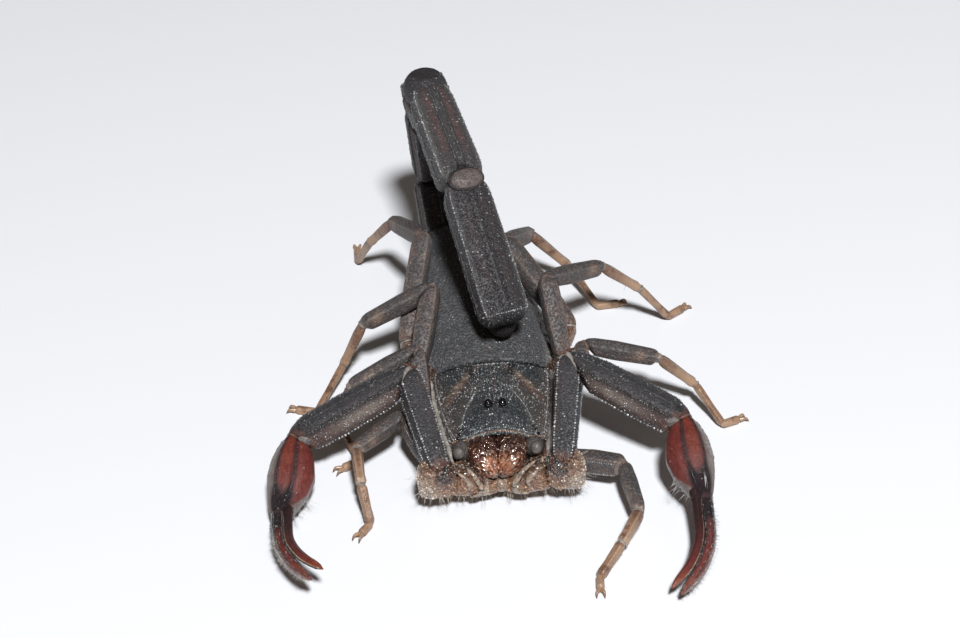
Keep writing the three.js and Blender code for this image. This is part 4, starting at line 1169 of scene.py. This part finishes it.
def pincer_base(name, mirror, root):
    """Coxa and trochanter of an arm, and the two cushions between them and the jaws."""
    coxa = loft(Path([[x * mirror, y, z] for x, y, z in PALP_COXA_PATH]), PALP_COXA, 3.0,
                mirrored=mirror < 0, columns=56)
    t, a = coxa.t, coxa.angle
    coxa.brush(
        light=0.9 * hump(t, 0.3, 0.06) + 0.9 * around(a, 150, 9) * step(0.3, 0.4, t),
        tone=0.8 * around(a, 70, 50) * step(0.3, 0.45, t),
        dark=0.75 * around(a, 80, 40) * step(0.5, 0.75, t),
        grain=0.5,
        bristle=around(a, -70, 50))
    ridges = [loft(Path([[x * mirror - 0.12 * (4 - x), y, z] for x, y, z in points]), COXA_RIDGE, columns=20,
                   lip=0, rows=np.linspace(0, 1, 40)).brush(light=0.6) for points in COXA_RIDGES]
    # The web fills the recess under the carapace's front corner. Its dark paint is painted shade for that
    # recess.
    web = bulb(np.array([2.75 * mirror - 0.1, -0.1, 4.15]), LEFT, (0.75, 0.75, 0.85)).brush(dark=0.75)
    boss = bulb(np.array([2.9 * mirror - 0.15, -0.9, 4.6]), LEFT, (0.46, 0.5, 0.5))
    add_piece(f"pincer_{name}_coxa_shell", [coxa, *ridges], "under", [f"pedipalp_{name}_coxa"])
    trochanter = loft(Path([root + [-0.1 * mirror, -1.1, 0.1], root + [-0.1 * mirror, 1.3, 0.25]]),
                      TROCHANTER, 3.3, mirrored=mirror < 0, columns=64, lip=0.0,
                      keels=[(60, 0.08, 10), (120, 0.08, 10), (0, 0.05, 12), (-60, 0.06, 12)],
                      relief=lambda t, angle: 0.07 * np.sin(t * 9 + angle * 0.05) * np.sin(angle * 0.07))
    a = trochanter.angle
    trochanter.brush(
        tone=0.95 * around(a, 128, 62),
        dark=0.4 * around(a, 118, 40),
        light=0.75 * around(a, -5, 48) + 0.45 * around(a, -70, 30),
        grain=1.0,
        bristle=0.25 + around(a, -75, 50))
    growth.along(trochanter, ("stud", 0.11, 95, 0.03, 0.8), ("stud", 0.17, 120, 0.03, 0.8),
                 ("stud", 0.12, 147, 0.03, 0.8))
    add_piece(f"pincer_{name}_trochanter_shell", [trochanter], "under",
              [f"pedipalp_{name}_trochanter"])
    growth.field([trochanter, coxa], "under")
    growth.field([coxa, trochanter], "pincer_hair")
    return [web, boss.brush(dark=0.3, smooth=0.8)]


def pincer_arm(name, mirror, joints):
    """Femur and patella of an arm."""
    femur = segment(joints, 1, PALP_FEMUR, 3.2, overlap=1.4, mirrored=mirror < 0,
                    keels=[(48, 0.1, 6), (132, 0.1, 6), (-45, 0.09, 7), (-135, 0.09, 7), (0, 0.03, 6)])
    t, a = femur.t, femur.angle
    inner, top = around(a, 180, 38), around(a, 90, 34)
    femur.brush(
        tone=0.75 * inner + 0.8 * step(0.12, 0.0, t) + 0.4 * around(a, -90, 40),
        light=0.12 * inner,
        dark=0.35 * around(a, 48, 6) + 0.35 * around(a, 132, 6),
        smooth=0.55 * top * step(0.25, 0.5, t),
        grain=0.10 + 0.5 * top * step(0.6, 0.2, t) + 0.35 * around(a, 0, 34))
    add_piece(f"pincer_{name}_femur_shell", [femur], "pincer_arm", [f"pedipalp_{name}_femur"])
    growth.along(femur, ("pearl", 0.08, 48, 0.05, 0.97), ("pearl", 0.08, 132, 0.05, 0.97),
                 ("pearl", 0.075, -45, 0.05, 0.97), ("pearl", 0.075, -135, 0.05, 0.97),
                 ("pearl_small", 0.06, 2, 0.06, 0.9))
    patella = segment(joints, 2, PALP_PATELLA, 2.7, mirrored=mirror < 0,
                      keels=[(38, 0.1, 6), (85, 0.06, 5), (142, 0.09, 7), (-38, 0.1, 7), (-140, 0.08, 8)])
    t, a = patella.t, patella.angle
    face = around(a, 0, 30)
    patella.brush(
        tone=0.55 * face + 0.6 * around(a, -90, 45) + 0.7 * step(0.9, 1.0, t),
        light=0.8 * around(a, 5, 22) * hump(t, 0.4, 0.3) + 0.3 * step(0.92, 1.0, t) * face,
        dark=0.5 * around(a, 38, 6) + 0.3 * around(a, 85, 5) + 0.7 * around(a, 120, 30) * step(0.93, 1.0, t),
        smooth=0.6 * around(a, 62, 18),
        grain=0.10 + 0.8 * face + 0.25 * around(a, 110, 30))
    forward = unit(joints[3] - joints[2])
    knob = bulb(joints[3] - forward * 0.45 + UP * 0.85, forward, (0.42, 0.5, 0.32))
    add_piece(f"pincer_{name}_patella_shell", [patella, knob.brush(dark=0.7, smooth=0.5)], "pincer_arm",
              [f"pedipalp_{name}_patella"])
    growth.along(patella, ("stud", 0.1, 38, 0.06, 0.93), ("dull", 0.05, 85, 0.08, 0.9),
                 ("pearl", 0.1, -38, 0.05, 0.93), ("dull", 0.06, 142, 0.08, 0.9),
                 ("pearl_small", 0.07, -140, 0.08, 0.9))
    growth.field([femur, patella], "pincer")


def pincer_hand(name, mirror, joints):
    """Hand with its fixed finger, and the movable finger."""
    table = [[*row[:3], -mirror * sum(row[3:])] for row in HAND]
    hand = loft(Path(joints[3:5]), table, 2.45, mirrored=mirror < 0, soft=0.04, lip=0.0, columns=96,
                cuts=[joint_plane(joints, 3, -1)],
                keels=[(76, 0.09, 6), (120, 0.1, 6), (165, 0.07, 7), (15, 0.05, 8)])
    t, a = hand.t, hand.angle
    grip = step(0.55, 0.82, t)
    low = (a + 180) % 360 - 180
    wedge = step(0.0, 0.05, t - 0.57 - 0.0045 * np.maximum(low, 0)) * step(-80, -60, low) * step(95, 80, low)
    hand.brush(
        dark=0.9 * around(a, 76, 6.5 + 10 * grip[:, :1]) + 0.9 * around(a, 120, 6 + 12 * grip[:, :1])
        + 1.2 * grip * around(a, 98, 42) + 0.5 * step(0.05, 0.0, t),
        light=0.95 * step(123, 131, a) * step(250, 225, a) + wedge + 0.3 * around(a, -90, 40),
        tone=0.25 * around(a, 102, 16) * step(0.7, 0.4, t) + 0.6 * step(0.08, 0.0, t),
        smooth=0.3 * (1 - grip),
        grain=0.03 + 0.1 * grip * around(a, 100, 50),
        bristle=wedge)
    fixed = loft(finger_path(name, joints, -0.02, 0.16, 0.0), FINGER, 2.2, mirrored=mirror < 0, columns=40,
                 keels=[(90, 0.05, 12), (150, 0.06, 12), (20, 0.04, 14)], soft=0.02, lip=0.0)
    t, a = fixed.t, fixed.angle
    fixed.brush(
        dark=0.45 * step(0.7, 0.3, t) + 0.45 * step(0.95, 0.6, t),
        tone=0.55 * step(0.75, 1.0, t),
        light=0.6 * around(a, 186, 12),
        smooth=0.8,
        bristle=0.3 * around(a, -60, 50))
    add_piece(f"pincer_{name}_hand_shell", [hand, fixed], "hand", [f"pedipalp_{name}_hand"])
    movable = loft(finger_path(name, joints, 0.74, -0.14, PALPS[name][2]), LOWER_FINGER, 2.2,
                   mirrored=mirror < 0, columns=40, soft=0.02, lip=0.0,
                   keels=[(70, 0.05, 12), (180, 0.05, 12), (-60, 0.04, 14)])
    t, a = movable.t, movable.angle
    patches = np.clip(hump(t, 0.17, 0.035) + hump(t, 0.26, 0.03) + hump(t, 0.34, 0.05), 0, 1)
    movable.brush(
        dark=0.95 * patches + 0.8 * around(a, 50, 20) * step(0.3, 0.4, t) * step(1.0, 0.8, t)
        + 0.4 * step(0.7, 0.35, t),
        light=0.95 * step(0.3, 0.15, t) * (1 - patches) + 0.8 * around(a, 185, 34) + 0.35 * around(a, 30, 14),
        tone=0.4 * step(0.7, 1.0, t),
        smooth=0.2,
        bristle=(0.1 + around(a, 190, 50)) * step(0.2, 0.4, t),
        grain=0.12 + 0.7 * around(a, 150, 40) + 0.5 * around(a, 60, 25))
    add_piece(f"pincer_{name}_finger_shell", [movable], "hand", [f"pedipalp_{name}_finger"])
    growth.field([movable, hand], "finger")
    growth.field([movable], "finger_hair")
    growth.field([hand], "pincer_hair")
    growth.along(fixed, ("stud", 0.06, 190, 0.25, 0.97, 0.02), ("amber", 0.055, 160, 0.02, 0.97))
    growth.along(movable, ("stud", 0.08, 20, 0.2, 0.98, 0.02), ("stud_small", 0.075, 55, 0.2, 0.98, 0.01),
                 ("stud_small", 0.06, 128, 0.2, 0.96, 0.01), ("pearl_small", 0.05, 165, 0.2, 0.96),
                 ("pearl_small", 0.05, 195, 0.3, 0.95))
    growth.along(hand, *[("stud_small", 0.045, angle, 0.06, 0.75) for angle in (76, 120, 165)])


def pincer_joint_skin(mirror, joints):
    """Soft skin of an arm's joints, the folded lips of its elbow and the pad inside its wrist."""
    skins = [joint_skin(joints, 1, (0.45, 0.7, 0.8), 0.0, 0.6).brush(dark=0.9),
             joint_skin(joints, 2, (0.42, 0.92, 0.98), 0.45, 0.25),
             joint_skin(joints, 3, (0.4, 0.8, 0.85), 0.1, 0.9)]
    forward = unit(joints[3] - joints[2])
    outside = -unit(unit(joints[1] - joints[2]) + forward)
    hinge = joints[2] + outside * 0.35 + UP * 0.75
    for red, drop in ((1.0, 0.0), (0.0, 0.3)):
        lip = bulb(hinge - UP * drop, np.cross(outside, UP), (0.7, 0.13, 0.12))
        skins.append(lip.brush(tone=red, dark=0.35 * red, light=1 - red))
    inner = unit(np.cross(forward, UP)) * mirror
    pad = bulb(joints[3] - forward * 0.5 + inner * 0.8 + UP * 0.3, forward, (0.72, 0.4, 0.5))
    return [*skins, pad]


def pincers():
    soft = []
    for name, mirror in (("L", 1), ("R", -1)):
        joints = palp_joints(name)
        soft.extend(pincer_base(name, mirror, joints[0]))
        pincer_arm(name, mirror, joints)
        pincer_hand(name, mirror, joints)
        soft.extend(pincer_joint_skin(mirror, joints))
    add_piece("pincer_joint_skin", soft, "skin")


# ---------------------------------------------------------------- jaws and combs

# Each section of a jaw: y, z, width and height.
CHELICERA = [[1.4, 3.45, 2.4, 1.3], [0.5, 3.8, 2.5, 2.3], [-0.25, 3.85, 2.45, 2.25],
             [-0.85, 3.65, 2.15, 1.95], [-1.3, 3.45, 1.65, 1.6], [-1.65, 3.25, 1.1, 1.15],
             [-1.9, 3.1, 0.6, 0.7], [-2.02, 3.0, 0.3, 0.4]]
FANG = [[0, 0.5, 0.5], [0.4, 0.42, 0.42], [0.8, 0.24, 0.24], [1, 0.05, 0.05]]
COMB_TOOTH = [[0, 0.16, 0.3], [0.6, 0.2, 0.34], [1, 0.06, 0.1]]
COMB_TEETH, COMB_LENGTH, COMB_TURN = 20, 5.4, 32.7


def jaw_relief(t, angle):
    return 0.05 * np.sin(angle * 0.21 + t * 17) * np.sin(t * 23 + angle * 0.05)


def jaws():
    for name, mirror in (("L", 1), ("R", -1)):
        points = np.array([[(width / 2 - 0.08) * mirror - 0.15, y, z] for y, z, width, _ in CHELICERA])
        steps = np.linalg.norm(np.diff(points, axis=0), axis=1)
        shares = np.concatenate([[0], np.cumsum(steps)]) / steps.sum()
        table = [[share, *row[2:]] for share, row in zip(shares, CHELICERA)]
        hand = loft(Path(points), table, 3.2, mirrored=mirror < 0, columns=72, lip=0.05, soft=0.06,
                    rows=np.linspace(0, 1, 60), relief=jaw_relief)
        t, a = hand.t, hand.angle
        hand.brush(
            tone=0.8 * step(0.6, 0.72, t),
            dark=0.8 * step(0.9, 1.0, t) + 0.65 * step(0.66, 0.5, t) + 0.35 * around(a, 180, 25),
            light=0.3 * hump(t, 0.74, 0.06) + 0.2 * around(a, -20, 30) * step(0.6, 0.7, t),
            smooth=0.25,
            bristle=0.5 * step(0.6, 0.8, t))
        fangs = []
        for shift, drop, length in ((0.12, 0.0, 1.0), (0.5, -0.1, 0.95)):
            base = np.array([(shift + 0.1) * mirror - 0.2, -1.45, 3.4 + drop])
            bend = base + [0.05 * mirror, -0.4 * length, -0.2]
            tip = base + [(-0.08 - 0.4 * shift) * mirror, -0.52 * length, -0.5]
            fang = loft(Path([base, bend, tip]), FANG, columns=20, lip=0, rows=np.linspace(0, 1, 20))
            fangs.append(fang.brush(dark=step(0.2, 0.8, fang.t), smooth=1.0))
        add_piece(f"jaw_{name}", [hand, *fangs], "jaw", [f"chelicera_{name}"])
        growth.field([hand], "jaw_hair")


def combs():
    for name, mirror in (("L", 1), ("R", -1)):
        start = np.array([0.5 * mirror, 9.9, 1.0])
        along = heading(COMB_TURN) * [mirror, 1, 1] * COMB_LENGTH
        back = heading(COMB_TURN + 90) * [mirror, 1, 1]
        spine = loft(Path([start, start + along]), [[0, 1.2, 0.5], [0.5, 1.0, 0.5], [1, 0.5, 0.45]], 3.0,
                     columns=32)
        teeth = []
        for share in 0.08 + 0.9 * np.linspace(0, 1, COMB_TEETH):
            root = start + along * share + back * 0.25
            tooth = loft(Path([root, root + back * (1.05 - 0.4 * share)]), COMB_TOOTH, columns=12, lip=0,
                         rows=np.linspace(0, 1, 10))
            teeth.append(tooth.brush(light=1.0))
        add_piece(f"comb_{name}", [spine.brush(light=0.5), *teeth], "under", [f"pecten_{name}"])


# ---------------------------------------------------------------- tail

TAIL_JOINTS = np.array([[-2.6, 27.6, 4.6], [-2.9, 31.9, 7.6], [-3.3, 30.9, 14.7], [-3.5, 25.2, 20.5],
                        [-1.2, 16.9, 16.7], [1.35, 8.8, 9.2]])
TAIL_WIDTHS = [[3.5, 3.8], [3.4, 3.6], [3.4, 3.8], [3.4, 3.7], [3.6, 3.85]]
TAIL_DOME = [[0.76, 1, 1], [0.85, 0.96, 0.97], [0.91, 0.86, 0.87], [0.96, 0.7, 0.7], [1.03, 0.35, 0.35]]
TAIL_HEIGHTS = [[3.1, 3.3], [3.1, 3.3], [3.1, 3.3], [3.2, 3.3], [3.1, 3.1]]
TAIL_LEAN = 18
RING_RED, RING_DARK, RING_LIGHT = (0.4, 0.6, 0.9, 0.6, 0.12), (0, 0, 0, 0, 0.16), (0, 0, 0.05, 0.11, 0)
RING_KEELS = [(40, 0.1, 6), (140, 0.1, 6), (-38, 0.1, 6), (-142, 0.1, 6), (80, 0.07, 4), (100, 0.07, 4),
              (0, 0.06, 5), (180, 0.06, 5)]
LAST_KEELS = [(40, 0.1, 6), (140, 0.1, 6), (-38, 0.09, 6), (-142, 0.09, 6), (90, 0.06, 4), (0, 0.05, 5),
              (180, 0.05, 5)]
VESICLE = [[0, 1.2, 1.1], [0.12, 1.9, 1.7], [0.35, 2.6, 2.3], [0.6, 2.7, 2.3], [0.8, 2.1, 1.8],
           [0.93, 1.4, 1.3], [1, 1, 1]]
STING = [[-0.08, 0.9, 0.9], [0.05, 0.9, 0.9], [0.3, 0.7, 0.7], [0.6, 0.46, 0.46], [0.85, 0.22, 0.22],
         [1, 0.04, 0.04]]


def ring_table(k):
    """Sections of a tail ring. The third ring's end and the fourth's start round off into a dome."""
    (w0, w1), (h0, h1) = TAIL_WIDTHS[k], TAIL_HEIGHTS[k]
    first, last = (0 if k == 0 else -0.06), (1 if k == 4 else 1.07)
    start = [[first, 0.72, 0.72], [0.03, 0.9, 0.9], [0.12, 1, 1]]
    end = [[0.88, 1, 1], [0.98, 0.94, 0.94], [last, 0.74, 0.74]]
    if k == 2:
        end = TAIL_DOME
    if k == 3:
        start = [[1 - p, across, tall] for p, across, tall in TAIL_DOME[::-1]]
    return ([[p, w0 * across, h0 * tall] for p, across, tall in start]
            + [[p, w1 * across, h1 * tall] for p, across, tall in end])


def tail_ring(k, joints, outward):
    """Ring k, from 0. Its outer side turns over after the third ring, and so do its keels."""
    cuts = [joint_plane(joints, k, -1, 0.2)] if k > 0 else []
    if k < 4:
        cuts.append(joint_plane(joints, k + 1, 1, 0.2))
    over = 1 if k < 3 else -1
    keels = [(angle * over, height, width) for angle, height, width in (LAST_KEELS if k == 4 else RING_KEELS)]
    notch = {3: (-90, 34, 0.0, 0.11), 4: (-90, 34, 0.04, 0.0)}.get(k)
    ring = loft(Path(joints[k:k + 2], outward), ring_table(k), 3.3, cuts=cuts, keels=keels, columns=120,
                notch=notch)
    t, a = ring.t, (ring.angle * over) % 360
    streaks = pair(a, 66, 8) * (0.75 + 0.25 * np.sin(t * 37 + a * 0.2))
    tone = RING_RED[k] * streaks * step(0.04, 0.2, t) * step(0.92, 0.7, t)
    if k < 3:
        tone = tone + 0.6 * pair(a, 20, 12)
    ring.brush(
        tone=tone,
        dark=RING_DARK[k] + 0.55 * pair(a, 80, 4) + 0.4 * step(0.95, 1.0, t),
        light=RING_LIGHT[k] + 0.35 * pair(a, 40, 6) + 0.3 * step(0.04, 0.0, t),
        grain=0.28 + 0.5 * step(0.84, 0.93, t) * around(a, 90, 60)
        + 0.3 * step(0.14, 0.06, t) * around(a, 90, 60)
        + 0.3 * pair(a, 40, 12))
    add_piece(f"tail_ring_{k + 1}", [ring], "tail", [f"metasoma_{k + 1}"])
    growth.field([ring], "tail", "tail_fine")
    growth.along(ring, *[("pearl_small", 0.06, keel, 0.06, 0.95) for keel in (40, 140, -38, -142)])
    middles = (80, 100, 0, 180) if k < 4 else (90, 0, 180)
    growth.along(ring, *[("dull", 0.055, keel * over, 0.08, 0.93) for keel in middles])
    if k == 4:
        growth.row("pearl_small", ring.ring(0.955, 225, 315), 0.06)


def tail():
    joints, hinges = list(TAIL_JOINTS), []
    for k in range(5):
        outward = unit(np.cross(heading(TAIL_LEAN), unit(joints[k + 1] - joints[k])))
        tail_ring(k, joints, outward)
        if k > 0:
            size, dark = ((1.6, 1.78, 1.7), 0.0) if k == 3 else ((0.95, 1.5, 1.42), 0.3)
            hinges.append(joint_skin(joints, k, size, 0.0, 0.0, upward=outward).brush(dark=dark, grain=0.3))
            growth.field(hinges[-1:], "tail_fine", "tail")
    # The broad oval of skin on the outer side of the joint before the last ring, and its dark rim.
    forward = unit(unit(joints[4] - joints[3]) + unit(joints[5] - joints[4]))
    outward = unit(np.cross(heading(TAIL_LEAN), forward))
    ovals = [bulb(joints[4] + outward * rise + forward * 0.2, forward, (0.86 * size, 1.3 * size, 0.42),
                  upward=outward).brush(dark=dark, tone=0.2)
             for size, rise, dark in ((1.12, -1.34, 1.3), (1.0, -1.44, 0.3))]
    add_piece("tail_joint_skin", ovals, "skin")
    add_piece("tail_knuckles", hinges, "tail")
    vesicle = loft(Path([[1.2, 10, 7.35], [1.1, 11.2, 7.45], [0.95, 12.6, 7.7], [0.75, 13.8, 8]]), VESICLE,
                   2.0, columns=56, soft=0.06, keels=[(-90, 0.05, 8), (-50, 0.04, 8), (-130, 0.04, 8)])
    # The bulb's dark paint is partly its own dark brown-black colour and partly painted shade for the hollow
    # under the last ring's end.
    vesicle.brush(tone=0.3, dark=0.9, grain=0.2 * around(vesicle.angle, -90, 60))
    add_piece("telson_bulb", [vesicle], "tail", ["telson_vesicle"])
    growth.field([vesicle], "tail")
    sting = loft(Path([[0.7, 14.15, 8.1], [0.58, 15.2, 8.15], [0.5, 16, 7.75], [0.46, 16.4, 7]], LEFT),
                 STING, 2.0, columns=32, lip=0)
    sting.brush(dark=step(0.3, 0.9, sting.t), smooth=1.0)
    add_piece("telson_sting", [sting], "hand", ["telson_aculeus"])


# ---------------------------------------------------------------- growth on the shell

BEAD_GROUPS = {
    # Each group: spacing in radii, unevenness, finish and slot.
    "dull": (2.4, 0.4, "grit", "shell"),
    "pearl": (2.7, 0.35, "pearl", "shell"),
    "pearl_small": (3.0, 0.35, "pearl", "shell"),
    "stud": (2.2, 0.25, "stud", "shell"),
    "stud_small": (2.6, 0.3, "stud", "red_shell"),
    "amber": (2.4, 0.3, "amber", "shell"),
}
GRAIN_FIELDS = {
    # Each field: least gap, most grains on a square millimetre, radius, finish and slot.
    "head": (0.14, 34, 0.062, "pearl", "shell"),
    "back": (0.19, 16, 0.055, "pearl", "shell"),
    "tail": (0.17, 20, 0.052, "pearl", "shell"),
    "pincer": (0.16, 22, 0.055, "pearl", "shell"),
    "under": (0.22, 14, 0.1, "amber", "underside"),
    "leg": (0.22, 10, 0.045, "grit", "leg_shell"),
    "finger": (0.13, 70, 0.045, "pearl", "red_shell"),
    "back_fine": (0.14, 60, 0.05, "grit", "shell"),
    "tail_fine": (0.15, 36, 0.045, "grit", "shell"),
}
BRISTLE_FIELDS = {
    # Each field: most bristles on a square millimetre, length, radius at the root and slot.
    "leg_hair": (0.9, 0.55, 0.018, "foot_shell"),
    "pincer_hair": (6.0, 1.05, 0.02, "red_shell"),
    "finger_hair": (25.0, 0.42, 0.018, "red_shell"),
    "jaw_hair": (2.0, 0.7, 0.02, "jaw"),
}


def growth_pieces():
    beads, grains, bristles = bead_row_tree(), grain_tree(), bristle_tree()
    for number, (group, rows) in enumerate(sorted(growth.rows.items())):
        spacing, unevenness, look, slot = BEAD_GROUPS[group]
        for radius in sorted({radius for _, radius in rows}):
            name = f"beads_{group}_{round(radius * 1000)}"
            lines = lines_mesh(name, [run for run, same in rows if same == radius], radius)
            grow(name, lines, beads, look, slot, Spacing=spacing * radius * MM, Unevenness=unevenness,
                 Seed=number)
    for number, (field, skins) in enumerate(sorted(growth.fields.items())):
        source = build_mesh(field, skins, FINISHES["pearl"])
        if field in GRAIN_FIELDS:
            gap, most, radius, look, slot = GRAIN_FIELDS[field]
            grow(f"grains_{field}", source, grains, look, slot, Gap=gap * MM, Most=most * 1e6,
                 Size=radius * MM, Seed=20 + number)
        else:
            most, length, girth_at_root, slot = BRISTLE_FIELDS[field]
            grow(f"bristles_{field}", source, bristles, "bristle", slot, Most=most * 1e6,
                 Length=length * MM, Girth=girth_at_root * MM, Seed=40 + number)


# ---------------------------------------------------------------- stage

FILM_WIDTH = 36
FOCAL_LENGTH = 97.587
CAMERA_TARGET = np.array([-0.28, 17.86, 3.0])
CAMERA_ELEVATION, CAMERA_AZIMUTH, CAMERA_ROLL = 36.34, -2.28, -2.53
CAMERA_DISTANCE = 209.94
LAMPS = (
    # Each lamp: name, place, size across and power in watts.
    ("flash", (34, -356, 465), 60, 4.95),
    ("fill", (300, 120, 400), 320, 0.05),
)


def stage():
    material = bpy.data.materials.new("pale floor")
    material.use_nodes = True
    tree = Tree(material.node_tree)
    shader = tree.node("ShaderNodeBsdfPrincipled", {}, {"Base Color": (0.78, 0.80, 0.84), "Roughness": 0.9})
    tree.node("ShaderNodeOutputMaterial", {}, {"Surface": shader})
    mesh = bpy.data.meshes.new("floor")
    mesh.from_pydata([(-1, -1, 0), (1, -1, 0), (1, 1, 0), (-1, 1, 0)], [], [(0, 1, 2, 3)])
    mesh.materials.append(material)
    floor = link("floor", mesh)
    world = bpy.data.worlds.new("soft sky")
    bpy.context.scene.world = world
    world.use_nodes = True
    sky = Tree(world.node_tree)
    glow = sky.node("ShaderNodeBackground", {}, {"Color": (1.0, 0.84, 0.70), "Strength": 0.07})
    sky.node("ShaderNodeOutputWorld", {}, {"Surface": glow})


def look_at(thing, at, target, roll=0.0):
    """Puts a camera or lamp at a point, turned to a target, both in the animal's millimetres."""
    back = unit(np.array(at, float) - target)
    right = unit(np.cross(UP, back))
    up = np.cross(back, right)
    c, s = math.cos(math.radians(roll)), math.sin(math.radians(roll))
    axes = [right * c + up * s, up * c - right * s, back]
    matrix = [[float(axes[column][row]) for column in range(3)] + [float((at[row] + ORIGIN[row]) * MM)]
              for row in range(3)]
    thing.matrix_world = Matrix([*matrix, (0, 0, 0, 1)])


def camera():
    data = bpy.data.cameras.new("camera")
    data.lens = FOCAL_LENGTH
    data.sensor_width = FILM_WIDTH
    data.clip_start = 0.002
    data.clip_end = 10
    made = link("camera", data)
    high, round_by = math.radians(CAMERA_ELEVATION), math.radians(CAMERA_AZIMUTH)
    back = np.array([math.sin(round_by) * math.cos(high), -math.cos(round_by) * math.cos(high),
                     math.sin(high)])
    look_at(made, CAMERA_TARGET + back * CAMERA_DISTANCE, CAMERA_TARGET, CAMERA_ROLL)
    bpy.context.scene.camera = made
    bpy.context.scene.view_settings.view_transform = "Standard"


def lamps():
    for name, at, size, power in LAMPS:
        data = bpy.data.lights.new(name, "AREA")
        data.shape = "DISK"
        data.size = size * MM
        data.energy = power
        look_at(link(name, data), np.array(at, float), CAMERA_TARGET)


carapace()
eyes()
tergites()
belly()
legs()
pincers()
jaws()
combs()
tail()
growth_pieces()
stage()
camera()
lamps()
